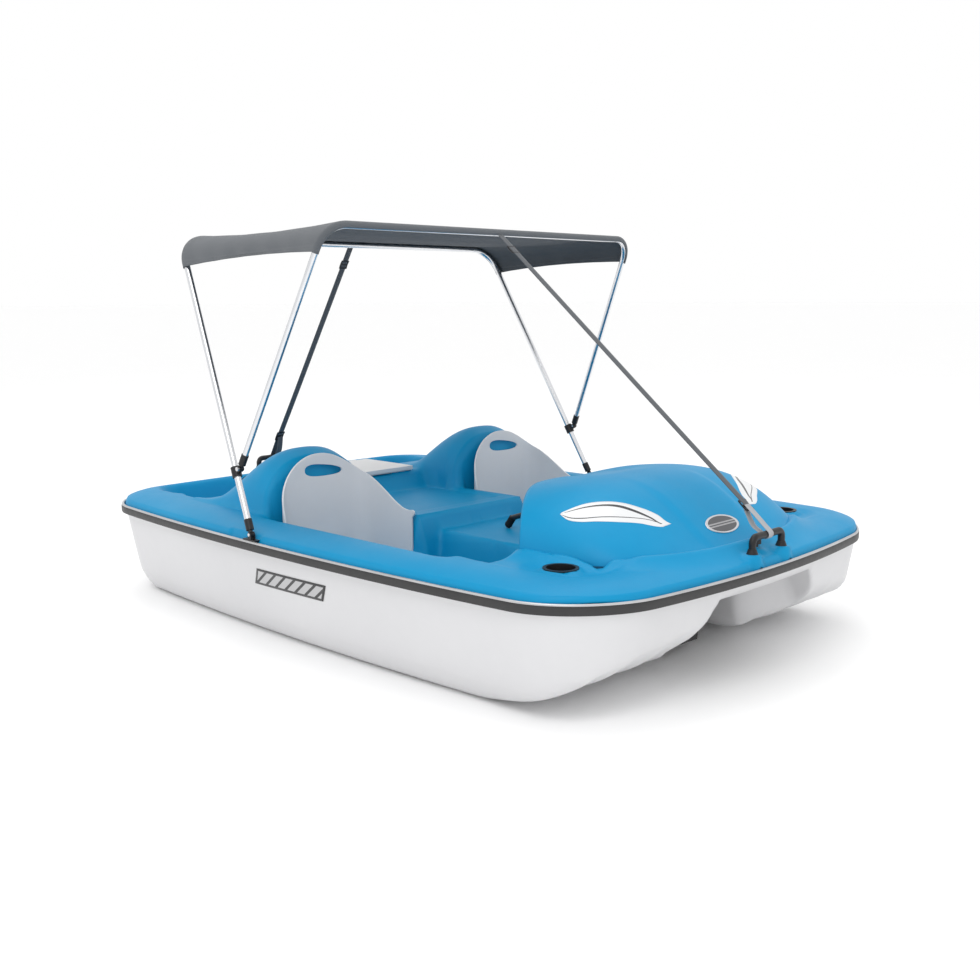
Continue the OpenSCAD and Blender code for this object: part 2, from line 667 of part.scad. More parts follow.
module rudder() color(hull_white) {
    translate([rudder_x, 0, aft_roof - 12 - rudder_h]) cylinder(d = 22, h = rudder_h);
    box([rudder_x - rudder_l + 4, -4, aft_roof - 12 - rudder_h], [rudder_x, 4, aft_roof - 12]);
    translate([rudder_x - rudder_l + 4, 0, aft_roof - 12 - rudder_h]) cylinder(r = 4, h = rudder_h);
}
module tiller_arm() color(steel) {
    translate([rudder_x, 0, aft_roof - 12]) cylinder(d = shaft_d, h = tiller_z - aft_roof + 18);
    translate([rudder_x, 0, tiller_z - 4]) slot_plate([0, 0], [0, arm_l], 11, 4);
    translate([rudder_x, arm_l, tiller_z - 4]) cylinder(d = 6, h = 14);
}

// ---------- drain plug, foam ----------
module drain_plug() color(black) translate(drain_at) rotate([0, 90, 0]) {
    translate([0, 0, -16]) cylinder(r = drain_r - 0.05, h = 30);
    translate([0, 0, -22]) cylinder(r = 18, h = 6);
}
module flotation_foam() color([0.95, 0.95, 0.9]) both_sides() {
    box([-640, keel_in + 5, 40], [-340, keel_out - 5, 120]);
}

// ---------- decals and badge (plain shapes) ----------
module cowl_decals() color([0.93, 0.93, 0.94]) both_sides() difference() {
    intersection() {
        cowl_block(-1.2);
        side_block([[700, cowl_base + 70], [740, cowl_base + 118], [830, cowl_base + 132],
            [930, cowl_base + 90], [860, cowl_base + 64]], boat_w);
        box([600, 200, 300], [1000, 800, 900]);
    }
    cowl_block(0);
}
module bow_badge() color(steel) difference() {
    intersection() {
        cowl_block(-1.5);
        translate([cowl_nose - 95, 0, 300]) linear_extrude(400) union() {
            circle(30);
            translate([0, -24]) circle(24);
            translate([0, 24]) circle(24);
        }
    }
    cowl_block(0);
}
module hull_decals() color(black) both_sides() difference() {
    intersection() {
        hull_block(-1.2);
        side_block([[-280, 178], [-255, 222], [10, 214], [40, 204], [-60, 180]], boat_w);
        box([-400, 400, 100], [200, 900, 290]);
    }
    hull_block(0);
}

// ---------- seat backs ----------
seat_y0 = bench_half + slide_gap;
seat_y1 = well_half - slide_gap;
seat_mid = (seat_y0 + seat_y1) / 2;
seat_half = (seat_y1 - seat_y0) / 2;
seat_x0 = -278;
seat_top = flange_z + back_h;
seat_low = pan_z + 3;
function seat_view(k) = [[seat_x0 - 30, seat_low - k], [seat_x0 - 6, seat_top], [seat_x0 + 30, seat_top],
    [seat_x0 + 62, seat_top - 26], [seat_x0 + 125, seat_top - 84], [seat_x0 + 200, flange_z + 62],
    [seat_x0 + wing_l - 24, flange_z + 48], [seat_x0 + wing_l, flange_z + 50],
    [seat_x0 + wing_l + 4, flange_z + 34], [seat_x0 + wing_l - 6, flange_z + 20],
    [seat_x0 + wing_l - 6, seat_low - k]];
// Plan of the scoop: open at the front, round at the back
function scoop(k) = concat([[seat_x0 + wing_l + 20, seat_mid - seat_half + k]],
    [for (a = [-90 : -15 : -180])
        [seat_x0 + 90 + (90 - k) * cos(a), seat_mid - seat_half + 90 + (90 - k) * sin(a)]],
    [for (a = [180 : -15 : 90])
        [seat_x0 + 90 + (90 - k) * cos(a), seat_mid + seat_half - 90 + (90 - k) * sin(a)]],
    [[seat_x0 + wing_l + 20, seat_mid + seat_half - k]]);
module seat_back() difference() {
    intersection() {
        translate([0, 0, seat_low]) linear_extrude(seat_top) polygon(scoop(0));
        side_block(seat_view(0), boat_w);
        end_block(crown(seat_mid, seat_half, flange_z + 20, seat_top, 2.6, 2), -800, 200);
    }
    translate([0, 0, seat_low - eps]) linear_extrude(seat_top) polygon(scoop(seat_wall));
    // Grip hole through the back
    translate([seat_x0 - 60, seat_mid, seat_top - 62]) rotate([90, 0, 90]) linear_extrude(120) union() {
        translate([-32, 0]) circle(17);
        translate([32, 0]) circle(17);
        translate([-32, -17]) square([64, 34]);
    }
}
module seat_back_port() color(hull_white) seat_back();
module seat_back_starboard() color(hull_white) mirror([0, 1, 0]) seat_back();

// ---------- sun top ----------
foot_x = -130;
foot_y = 797;
foot_z = rail_top + 18;
tang_t = 7;
ear_gap = 0.5;
ear_t = 4;
// Frames of the two bows: local z runs along the leg, local y is athwart
module main_frame() translate([foot_x, 0, foot_z]) rotate([0, -main_lean, 0]) children();
jaw_offset = 26;
front_pivot = [foot_x - jaw_at * sin(main_lean) + jaw_offset * cos(main_lean), 0,
    foot_z + jaw_at * cos(main_lean) + jaw_offset * sin(main_lean)];
module front_frame() translate(front_pivot) rotate([0, front_lean, 0]) children();
// Half span of the main leg at a height along it
function main_y(v) = foot_y + (corner_y - foot_y) * v / main_l;
jaw_y = main_y(jaw_at);
front_corner = corner_y - 18;
// Bent bar: two leaning legs, two slightly fuller bends and a cross bar
bend_extra = 0.8;
lap = 4;
module bent_bar(y0, y1, v0, l, r, d) {
    lean = atan((y0 - y1) / l);
    turn = 90 - lean;
    t = r * tan(turn / 2);
    both_sides() {
        translate([0, y0, 0]) rotate([lean, 0, 0]) translate([0, 0, v0])
            cylinder(d = d, h = l / cos(lean) - t - v0 + lap);
        translate([0, y1 - t, l - r]) rotate([90, 0, 90]) rotate([0, 0, lean]) rotate_extrude(angle = turn)
            translate([r, 0]) circle(d = d + bend_extra);
    }
    translate([0, -(y1 - t + lap), l]) rotate([-90, 0, 0]) cylinder(d = d, h = 2 * (y1 - t + lap));
}
module bent_tube(y0, y1, v0, l, r, d) difference() {
    bent_bar(y0, y1, v0, l, r, d);
    bent_bar(y0, y1, v0 - eps, l, r, d - 2 * tube_wall);
}
tube_start = 22;
module main_bow() color(steel) main_frame() bent_tube(foot_y, corner_y, tube_start, main_l, bend_r, main_d);
module front_bow() color(steel) front_frame()
    bent_tube(jaw_y, front_corner, tube_start, front_l, bend_r - 18, front_d);
// Flat tang with a pivot hole and a socket for the tube
module bow_end(y, lean_to, l, d) {
    lean = atan((y - lean_to) / l);
    translate([0, y, 0]) difference() {
        union() {
            rotate([90, 0, 0]) cylinder(r = 9, h = tang_t, center = true);
            translate([-7, -tang_t / 2, 0]) cube([14, tang_t, 20]);
            rotate([lean, 0, 0]) translate([0, 0, 14]) difference() {
                cylinder(d = d + 4, h = 34);
                translate([0, 0, tube_start - 14]) cylinder(d = d, h = 40);
            }
        }
        rotate([90, 0, 0]) cylinder(d = 6 + 2 * run_gap, h = 40, center = true);
    }
}
module main_bow_ends() color(black) main_frame() both_sides() bow_end(foot_y, corner_y, main_l, main_d);
module front_bow_ends() color(black) front_frame() both_sides()
    bow_end(jaw_y, front_corner, front_l, front_d);
module deck_hinge() translate([foot_x, foot_y, rail_top]) difference() {
    union() {
        translate([-32, -9, 0]) cube([64, 18, 4]);
        for (s = [-1, 1]) translate([0, s * (tang_t / 2 + ear_gap + ear_t / 2), 0]) {
            translate([-8, -ear_t / 2, 0]) cube([16, ear_t, 18]);
            translate([0, 0, 18]) rotate([90, 0, 0]) cylinder(r = 8, h = ear_t, center = true);
        }
    }
    translate([0, 0, 18]) rotate([90, 0, 0]) cylinder(d = 6, h = 60, center = true);
}
module deck_hinge_port() color(black) deck_hinge();
module deck_hinge_starboard() color(black) mirror([0, 1, 0]) deck_hinge();
module hinge_pins() color(steel) both_sides() translate([foot_x, foot_y, foot_z]) rotate([90, 0, 0]) {
    cylinder(d = 6, h = tang_t + 2 * ear_gap + 2 * ear_t, center = true);
    translate([0, 0, -tang_t / 2 - ear_gap - ear_t - 2]) cylinder(d = 10, h = 2);
}
// Sleeve clamped on the main leg, with two ears for the front bow
clear_r = 10;
module jaw_slide() {
    lean = atan((foot_y - corner_y) / main_l);
    difference() {
        union() {
            translate([0, foot_y, 0]) rotate([lean, 0, 0]) translate([0, 0, jaw_at - 16])
                cylinder(d = main_d + 10, h = 32);
            for (s = [-1, 1]) translate([0, jaw_y + s * (tang_t / 2 + ear_gap + ear_t / 2), jaw_at]) {
                translate([8, -ear_t / 2, -8]) cube([jaw_offset - 8, ear_t, 16]);
                translate([jaw_offset, 0, 0]) rotate([90, 0, 0]) cylinder(r = 8, h = ear_t, center = true);
            }
        }
        translate([0, foot_y, 0]) rotate([lean, 0, 0]) cylinder(d = main_d, h = 400);
        translate([jaw_offset, jaw_y, jaw_at]) rotate([90, 0, 0]) {
            cylinder(d = 6, h = 60, center = true);
            cylinder(r = clear_r, h = tang_t + 2 * ear_gap, center = true);
        }
    }
}
module jaw_slides() color(black) main_frame() both_sides() jaw_slide();
module jaw_screw() translate([jaw_offset, jaw_y, jaw_at]) rotate([90, 0, 0]) {
    cylinder(d = 6, h = tang_t + 2 * ear_gap + 2 * ear_t, center = true);
    translate([0, 0, -tang_t / 2 - ear_gap - ear_t - 6]) cylinder(d = 13, h = 6);
}
module jaw_screws() color(steel) main_frame() both_sides() jaw_screw();
// Cross tube centres (x, z) of the two bows
main_cross = [foot_x - main_l * sin(main_lean), foot_z + main_l * cos(main_lean)];
front_cross = [front_pivot[0] + front_l * sin(front_lean), front_pivot[2] + front_l * cos(front_lean)];
wrap = main_d / 2 + 0.6;
// Roof stretched over both cross tubes, wrapped round them, with side flaps
canopy_half = corner_y + 22;
function round_at(c, r, a0, a1) = [for (a = [a0 : -18 : a1]) [c[0] + r * cos(a), c[1] + r * sin(a)]];
function roof_line(k) = concat(round_at(main_cross, wrap + k, 215, 107),
    round_at(front_cross, wrap + k, 73, -35));
function reversed(p) = [for (i = [len(p) - 1 : -1 : 0]) p[i]];
roof_half = corner_y - bend_r + 4;
roof_rise = wrap + canopy_t;
// Flap outside the legs of the bows, seen from the side
flap_view = [main_cross + [-20, -flap_h], main_cross + [14, roof_rise],
    front_cross + [-10, roof_rise], front_cross + [20, -flap_h]];
// Shoulder over the bends, between the roof and the flap
shoulder_view = [main_cross + [-wrap - 2, wrap], main_cross + [0, roof_rise],
    front_cross + [0, roof_rise], front_cross + [wrap + 2, wrap]];
module canopy() color(grey) {
    side_block(concat(roof_line(0), reversed(roof_line(canopy_t))), 2 * roof_half);
    both_sides() {
        intersection() {
            side_block(flap_view, 2 * canopy_half);
            box([-900, canopy_half - canopy_t, 0], [500, canopy_half, 2000]);
        }
        intersection() {
            side_block(shoulder_view, 2 * canopy_half);
            box([-900, roof_half, 0], [500, canopy_half, 2000]);
        }
    }
}
// Straps from the cross tubes to the handles
strap_low = handle_foot + handle_rise;
module strap(a, b) {
    v = b - a;
    l = norm(v);
    translate([a[0], 0, a[1]]) rotate([0, atan2(v[0], v[1]), 0]) translate([-strap_t / 2, -strap_w / 2, 0])
        cube([strap_t, strap_w, l]);
}
front_strap_a = [front_cross[0] + wrap + canopy_t + 1.6, front_cross[1] - 4];
front_strap_b = [handle_x - 6, strap_low + handle_d / 2 + 3];
rear_strap_a = [main_cross[0] - wrap - canopy_t - 1.6, main_cross[1] - 4];
rear_strap_b = [-handle_x + 3, strap_low + handle_d / 2 + 3];
module front_strap() color(grey) strap(front_strap_a, front_strap_b);
module rear_strap() color(grey) strap(rear_strap_a, rear_strap_b);
module buckle(a, b, d) {
    u = (b - a) / norm(b - a);
    p = b - d * u;
    translate([p[0], 0, p[1]]) rotate([0, atan2(-u[0], -u[1]), 0]) difference() {
        translate([-4, -18, -12]) cube([8, 36, 24]);
        translate([-strap_t / 2, -strap_w / 2, -20]) cube([strap_t, strap_w, 40]);
    }
}
module front_strap_buckle() color(black) buckle(front_strap_a, front_strap_b, 150);
module rear_strap_buckle() color(black) buckle(rear_strap_a, rear_strap_b, 150);

hull();
deck();
front_cowl();
rub_rail();
rail_trim();
bow_handle();
stern_handle();
handle_screws();
cup_holder_starboard();
cup_holder_port();
rod_holder_starboard();
rod_holder_port();
bow_knob();
cooler_tub();
cooler_lid();
cooler_hinge_pins();
crank_bushings();
crank_brackets();
drain_plug();
deck_hinge_starboard();
deck_hinge_port();
hinge_pins();
steering_bushing();
rudder_bushing();
flotation_foam();
cowl_decals();
bow_badge();
hull_decals();
front_strap();
rear_strap();
front_strap_buckle();
rear_strap_buckle();
crankshaft();
paddle_wheel();
wheel_bolts();
pedal_starboard_outer();
pedal_starboard_inner();
pedal_port_inner();
pedal_port_outer();
steering_lever();
steering_grip();
push_rod();
rudder();
tiller_arm();
seat_back_starboard();
seat_back_port();
main_bow();
main_bow_ends();
jaw_slides();
canopy();
front_bow();
front_bow_ends();
jaw_screws();
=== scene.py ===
import json
import math
import bpy
import numpy as np
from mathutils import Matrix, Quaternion, Vector


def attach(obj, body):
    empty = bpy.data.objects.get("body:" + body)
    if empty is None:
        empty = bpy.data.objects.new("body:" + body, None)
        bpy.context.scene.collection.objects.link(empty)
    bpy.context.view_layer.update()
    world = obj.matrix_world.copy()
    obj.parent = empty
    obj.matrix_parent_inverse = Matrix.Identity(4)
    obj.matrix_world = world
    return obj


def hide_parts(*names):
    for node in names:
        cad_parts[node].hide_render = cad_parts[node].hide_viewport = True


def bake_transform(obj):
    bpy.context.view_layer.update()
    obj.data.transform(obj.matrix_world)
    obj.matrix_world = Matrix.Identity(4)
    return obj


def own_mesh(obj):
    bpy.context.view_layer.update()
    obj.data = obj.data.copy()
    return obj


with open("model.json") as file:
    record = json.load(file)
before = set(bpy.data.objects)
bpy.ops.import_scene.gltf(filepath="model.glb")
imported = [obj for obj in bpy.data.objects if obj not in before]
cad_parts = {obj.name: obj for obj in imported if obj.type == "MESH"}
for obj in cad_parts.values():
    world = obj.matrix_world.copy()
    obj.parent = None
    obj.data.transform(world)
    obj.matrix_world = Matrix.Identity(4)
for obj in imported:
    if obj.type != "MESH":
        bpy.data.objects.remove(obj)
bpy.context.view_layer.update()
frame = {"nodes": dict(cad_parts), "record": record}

bpy.ops.object.select_all(action="DESELECT")

# ---------- studio ----------
# A white floor, a white surround and two large soft lamps.
# The camera stands off the starboard bow at about eye height.
bpy.ops.mesh.primitive_plane_add(size=400)
floor = bpy.context.object
floor.name = "studio_floor"
camera = bpy.data.objects.new("studio_camera", bpy.data.cameras.new("studio_camera"))
bpy.context.collection.objects.link(camera)
bpy.context.scene.camera = camera
eye = Vector((2.6868, -2.6842, 1.0306))
yaw, pitch, roll = 2.3398, -0.1672, 0.0046
ahead = Vector((math.cos(pitch) * math.cos(yaw), math.cos(pitch) * math.sin(yaw), math.sin(pitch)))
camera.location = eye
camera.rotation_mode = "QUATERNION"
camera.rotation_quaternion = Quaternion(ahead, roll) @ ahead.to_track_quat("-Z", "Y")
camera.data.lens = 41.71
camera.data.sensor_width = 36
world = bpy.data.worlds.new("studio_surround")
bpy.context.scene.world = world
world.use_nodes = True
world.node_tree.nodes["Background"].inputs[0].default_value = (1.0, 1.0, 1.0, 1)
world.node_tree.nodes["Background"].inputs[1].default_value = 1.0
bpy.context.scene.view_settings.view_transform = "Standard"


def soft_lamp(name, place, aim, size, power):
    lamp = bpy.data.objects.new(name, bpy.data.lights.new(name, "AREA"))
    bpy.context.collection.objects.link(lamp)
    lamp.data.size = size
    lamp.data.energy = power
    lamp.location = place
    lamp.rotation_mode = "QUATERNION"
    lamp.rotation_quaternion = (Vector(aim) - Vector(place)).to_track_quat("-Z", "Y")


soft_lamp("key_lamp", (2.2, -3.6, 4.6), (0, 0, 0.3), 2.6, 70)
soft_lamp("top_lamp", (-1.0, 0.6, 5.0), (0, 0, 0.3), 4.0, 60)


# ---------- floor paint ----------
# The shader tools: a Wire is a value in a material, and a Paint is one material.
# The floor itself is plain white card with a faint mottle.
class Wire:
    def __init__(self, paint, socket):
        self.paint = paint
        self.socket = socket

    def __add__(self, other):
        return self.paint.node("Math", {"operation": "ADD"}, {0: self, 1: other})

    __radd__ = __add__

    def __mul__(self, other):
        return self.paint.node("Math", {"operation": "MULTIPLY"}, {0: self, 1: other})

    __rmul__ = __mul__

    def __sub__(self, other):
        return self.paint.node("Math", {"operation": "SUBTRACT"}, {0: self, 1: other})

    def __rsub__(self, other):
        return self.paint.node("Math", {"operation": "SUBTRACT"}, {0: other, 1: self})

    def over(self, limit):
        return self.paint.node("Math", {"operation": "GREATER_THAN"}, {0: self, 1: limit})


class Paint:
    def __init__(self, name, **shader):
        self.material = bpy.data.materials.new(name)
        self.material.use_nodes = True
        self.tree = self.material.node_tree
        self.shader = self.tree.nodes["Principled BSDF"]
        for socket, value in shader.items():
            self.set(socket.replace("_", " "), value)

    def set(self, socket, value):
        if isinstance(value, Wire):
            self.tree.links.new(value.socket, self.shader.inputs[socket])
        else:
            self.shader.inputs[socket].default_value = value

    def node(self, kind, settings, inputs, out=0):
        made = self.tree.nodes.new("ShaderNode" + kind)
        for key, value in settings.items():
            if key == "stops":
                for stop, (place, colour) in zip(made.color_ramp.elements, value):
                    stop.position = place
                    stop.color = colour
            else:
                setattr(made, key, value)
        for key, value in inputs.items():
            if isinstance(value, Wire):
                self.tree.links.new(value.socket, made.inputs[key])
            else:
                made.inputs[key].default_value = value
        return Wire(self, made.outputs[out])

    def place(self, scale=(1, 1, 1)):
        where = self.node("TexCoord", {}, {}, out=3)
        return self.node("Mapping", {}, {0: where, 3: scale})

    def noise(self, scale, stretch=(1, 1, 1), detail=3.0):
        return self.node("TexNoise", {}, {0: self.place(stretch), "Scale": scale, "Detail": detail})

    def blend(self, low, high, factor):
        return self.node("Mix", {"data_type": "RGBA"}, {0: factor, 6: low, 7: high}, out=2)

    def bump(self, height, strength, distance):
        self.set("Normal", self.node("Bump", {}, {0: strength, 1: distance, "Height": height}))

    def onto(self, *objects):
        for o in objects:
            o.data.materials.clear()
            o.data.materials.append(self.material)


floor_paint = Paint("studio_card", Roughness=0.85)
card, card_light = (0.985, 0.985, 0.985, 1), (1.0, 1.0, 1.0, 1)
floor_paint.set("Base Color", floor_paint.blend(card, card_light, floor_paint.noise(1.5)))
floor_paint.onto(floor)


# ---------- plastics ----------
# Thick vacuum-formed sheet: a satin skin with a fine pebble grain, slightly
# uneven in gloss and tone where the hot sheet was drawn over the mould.
def moulded_plastic(name, deep, bright, roughness, shine=0.25):
    paint = Paint(name, Coat_Weight=0.04, Coat_Roughness=0.3, Specular_IOR_Level=shine)
    drift = paint.noise(2.2, detail=2.0)
    mottle = paint.noise(30.0)
    paint.set("Base Color", paint.blend(deep, bright, drift * 0.75 + mottle * 0.25))
    paint.set("Roughness", paint.noise(7.0) * 0.16 + paint.noise(60.0) * 0.08 + (roughness - 0.12))
    pebble = paint.node("TexVoronoi", {"feature": "SMOOTH_F1"}, {0: paint.place(), "Scale": 620.0})
    paint.bump(pebble * 0.6 + paint.noise(1500.0) * 0.4, 0.22, 0.0004)
    return paint


deck_blue = moulded_plastic("deck_blue", (0.0, 0.225, 0.46, 1), (0.0, 0.295, 0.56, 1), 0.48, 0.2)
hull_white = moulded_plastic("hull_white", (0.615, 0.615, 0.63, 1), (0.69, 0.69, 0.70, 1), 0.42)
seat_white = moulded_plastic("seat_white", (0.66, 0.665, 0.68, 1), (0.74, 0.745, 0.755, 1), 0.46)
soot, soot_light = (0.006, 0.006, 0.007, 1), (0.016, 0.016, 0.018, 1)
black_plastic = moulded_plastic("black_plastic", soot, soot_light, 0.42, 0.35)


# ---------- outline of the boat ----------
# The hull and the deck are moulded to one rail line: a rectangle with round
# corners, a waist along the sides and a gentle sweep across both ends.
half_long, half_wide = 1.175, 0.813
bow_round, stern_round = 0.26, 0.227
bow_sweep, stern_sweep, taper = 0.081, 0.036, 0.0854


def swept(x, y):
    u, v = x / half_long, y / half_wide
    back = np.where(u > 0, bow_sweep, -stern_sweep) * v ** 2 * u ** 4
    return x - back, y * (1 - taper * u ** 2)


def rail_point(u, v, inset):
    far = np.maximum(np.maximum(np.abs(u), np.abs(v)), 1e-9)
    along, across = u / far, v / far
    radius = np.where(along > 0, bow_round, stern_round)
    flat_x, flat_y = half_long - radius, half_wide - radius
    on_end = np.abs(u) >= np.abs(v)
    tx, ty = flat_x / half_long, flat_y / half_wide
    turn_end = np.clip((np.abs(across) - ty) / (1 - ty), 0, 1) * math.pi / 4
    turn_side = math.pi / 2 - np.clip((np.abs(along) - tx) / (1 - tx), 0, 1) * math.pi / 4
    turn = np.where(on_end, turn_end, turn_side)
    straight_x = np.minimum(np.abs(along) * half_long, flat_x)
    straight_y = np.minimum(np.abs(across) * half_wide, flat_y)
    x = np.where(on_end, flat_x, straight_x) + (radius - inset) * np.cos(turn)
    y = np.where(on_end, straight_y, flat_y) + (radius - inset) * np.sin(turn)
    return swept(np.sign(along) * x, np.sign(across) * y)


def inset_at(x, y):
    u = np.clip(x / half_long, -1, 1)
    y0 = y / (1 - taper * u ** 2)
    v = np.clip(y0 / half_wide, -1, 1)
    x0 = x + np.where(u > 0, bow_sweep, -stern_sweep) * v ** 2 * u ** 4
    radius = np.where(x > 0, bow_round, stern_round)
    qx = np.abs(x0) - (half_long - radius)
    qy = np.abs(y0) - (half_wide - radius)
    outside = np.hypot(np.maximum(qx, 0), np.maximum(qy, 0))
    return radius - outside - np.minimum(np.maximum(qx, qy), 0)


def ease(t):
    t = np.clip(t, 0, 1)
    return t * t * (3 - 2 * t)


def inside_box(x, y, x0, x1, y0, y1, r):
    qx = np.abs(x - (x0 + x1) / 2) - ((x1 - x0) / 2 - r)
    qy = np.abs(y - (y0 + y1) / 2) - ((y1 - y0) / 2 - r)
    return r - np.hypot(np.maximum(qx, 0), np.maximum(qy, 0)) - np.minimum(np.maximum(qx, qy), 0)


def toward(z, level, amount):
    return z + (level - z) * amount


def soft_max(a, b, k):
    h = np.maximum(k - np.abs(a - b), 0) / k
    return np.maximum(a, b) + h * h * k / 4


def corners(obj):
    co = np.empty(len(obj.data.vertices) * 3)
    obj.data.vertices.foreach_get("co", co)
    return co.reshape(-1, 3)


def put_corners(obj, co):
    obj.data.vertices.foreach_set("co", np.ascontiguousarray(co, dtype=np.float32).ravel())
    obj.data.update()


def apply_modifier(obj, kind, **settings):
    bpy.ops.object.select_all(action="DESELECT")
    bpy.context.view_layer.objects.active = obj
    obj.select_set(True)
    made = obj.modifiers.new(kind.lower(), kind)
    for key, value in settings.items():
        setattr(made, key, value)
    bpy.ops.object.modifier_apply(modifier=made.name)


def flat_grid(name, cells_x, cells_y):
    """A square sheet of cells from -1 to 1, and its corners."""
    bpy.ops.mesh.primitive_grid_add(x_subdivisions=cells_x, y_subdivisions=cells_y, size=2)
    obj = bpy.context.object
    obj.name = name
    return obj, corners(obj)


def on_all_faces(*steps):
    bpy.ops.object.mode_set(mode="EDIT")
    bpy.ops.mesh.select_all(action="SELECT")
    for step, settings in steps:
        step(**settings)
    bpy.ops.object.mode_set(mode="OBJECT")


def lay_uv(obj, across, along):
    """Gives each corner of each face the two values of its vertex as its UV."""
    uv = obj.data.uv_layers.active or obj.data.uv_layers.new()
    loops = np.empty(len(obj.data.loops), dtype=np.int32)
    obj.data.loops.foreach_get("vertex_index", loops)
    uv.data.foreach_set("uv", np.stack([across[loops], along[loops]], 1).ravel())


def drawn_sheet(name, cells_x, cells_y, rings, shape):
    """A sheet of grid cells pressed into shape: rings gives the inset of each ring near the rail."""
    obj, co = flat_grid(name, cells_x, cells_y)
    u, v = co[:, 0], co[:, 1]
    s = np.maximum(np.abs(u), np.abs(v))
    share, first, last, power = rings
    inset = first + (last - first) * np.clip((1 - s) / (1 - share), 0, 1) ** power
    x, y = rail_point(u, v, inset)
    shrink = np.minimum(s / share, 1)
    x, y = x * shrink, y * shrink
    put_corners(obj, np.stack([x, y, shape(x, y)], 1))
    bpy.ops.object.shade_smooth()
    return obj


# ---------- deck ----------
# One blue sheet drawn over a mould: the gunwale, four seats, two footwells, the
# stern well, the console for the cooler and the two domes behind the seat backs.
rail_level = 0.304
crest = 0.355
pad_level = 0.3555
console_level, seat_level, pan_level, foot_level = 0.392, 0.328, 0.200, 0.090
hump_level, well_level, ledge_level = 0.282, 0.215, 0.3218
dome_low, dome_rise, dome_x, dome_y, dome_half = 0.345, 0.202, -0.36, 0.42, 0.212
cowl_half, cowl_mid, cowl_nose, cowl_power = 0.492, 0.68, 1.083, 2.9
handle_x, handle_y = 1.133, 0.075
drink_x, side_y = 0.865, 0.545
wheel_x, wheel_z = 0.765, 0.255
raised_pads = [(handle_x, handle_y, 0.03), (-handle_x, handle_y, 0.03), (1.098, 0.0, 0.026),
               (drink_x, side_y, 0.056)]


def deck_shape(x, y):
    a = np.abs(y)
    d = inset_at(x, y)
    z = rail_level + 0.030 * ease((d - 0.0125) / 0.014)
    z = z + (crest - rail_level - 0.030) * (1 - (1 - np.clip((d - 0.018) / 0.125, 0, 1)) ** 2.4)
    z = z - 0.009 * ease((d - 0.165) / 0.035) * ease((x - 0.55) / 0.1)
    # the gunwale falls towards the seats and the footwells
    z = z - 0.018 * ease((0.672 - a) / 0.055) * ease((x + 0.30) / 0.03) * ease((0.58 - x) / 0.08)
    # console and centre seat
    z = toward(z, console_level, ease(inside_box(x, a, -0.79, -0.45, -0.5, 0.40, 0.05) / 0.045))
    z = toward(z, seat_level, ease(inside_box(x, a, -0.462, -0.05, -0.3, 0.23, 0.04) / 0.035))
    # seat bays, the low floor over the tunnel, and the footwells
    z = toward(z, pan_level, ease(inside_box(x, a, -0.289, 0.08, 0.244, 0.620, 0.02) / 0.012))
    z = toward(z, np.minimum(z, hump_level), ease(inside_box(x, a, 0.0, 1.02, -0.4, 0.30, 0.03) / 0.03))
    wide = np.minimum.reduce([(x - 0.022) / 0.05, (0.616 - a) / 0.045, (0.66 - x) / 0.09])
    under = np.minimum.reduce([(x - 0.3) / 0.05, (0.478 - a) / 0.03, (0.94 - x) / 0.05])
    z = toward(z, foot_level, ease(np.minimum(np.maximum(wide, under), (a - 0.165) / 0.06)))
    # arch over the paddle wheel
    arch = wheel_z + np.sqrt(np.maximum(0.262 ** 2 - (x - wheel_x) ** 2, 0))
    z = np.where(a < 0.135, np.maximum(z, toward(z, arch, ease((0.135 - a) / 0.014))), z)
    # domes behind the side seats
    off = np.abs((a - dome_y) / dome_half)
    t = np.clip((dome_x - x) / 0.36, 0, 1)
    aft_slope = 0.5 + 0.5 * np.cos(math.pi * t ** 0.95)
    front_slope = 1 - 3.2 * np.maximum(x - dome_x, 0) ** 1.15
    top = np.where(x < dome_x, aft_slope, front_slope) * np.sqrt(1 - np.clip(off, 0, 1) ** 2.5)
    dome = dome_low + dome_rise * top * ease((-0.286 - x) / 0.014)
    # beside and behind the domes their base drops out of the way of the gunwale
    dome = dome - 0.09 * ease((off - 0.97) / 0.12) - 0.12 * ease((-0.72 - x) / 0.08)
    z = np.where(x < -0.286, soft_max(z, dome, 0.035), z)
    # stern well and the two small seats ahead of it
    z = toward(z, np.minimum(z, 0.285), ease(inside_box(x, a, -0.86, -0.655, 0.19, 0.61, 0.05) / 0.05))
    z = toward(z, well_level, ease(inside_box(x, a, -1.075, -0.79, -0.7, 0.61, 0.12) / 0.075))
    # scallops for the fingers beside each seat, and a ledge under each bow foot
    wave = 0.5 - 0.5 * np.cos((x + 0.205) * 2 * math.pi / 0.058)
    wave = wave * inside_box(x, a, -0.205, -0.031, 0, 1, 0.001) * 500
    z = z - 0.011 * np.clip(wave, 0, 1) * ease((0.668 - a) / 0.03) * ease((a - 0.607) / 0.01)
    ledge = ease(inside_box(x, a, -0.262, -0.092, 0.779, 0.99, 0.006) / 0.006)
    z = toward(z, np.minimum(z, ledge_level), ledge)
    # fillet round the foot of the cowl
    ahead = np.maximum(x - cowl_mid, 0) / (cowl_nose - cowl_mid)
    ring = (ahead ** cowl_power + (a / cowl_half) ** cowl_power) ** (1 / cowl_power)
    fillet = np.clip(1 - (ring - 1) / 0.14, 0, 1) ** 2.2 * ease((ring - 0.9) / 0.09)
    z = z + 0.026 * fillet * ease((x - 0.60) / 0.1)
    # pads under the handles, the knob and the drink holders
    for px, py, r in raised_pads:
        near = np.hypot(x - px, a - py)
        z = np.maximum(z, toward(z, pad_level, ease((r - near) / 0.014 + 0.5)))
    return z


deck = drawn_sheet("deck_shell", 258, 186, (0.80, 0.0105, 0.165, 1.3), deck_shape)
deck_blue.onto(deck)


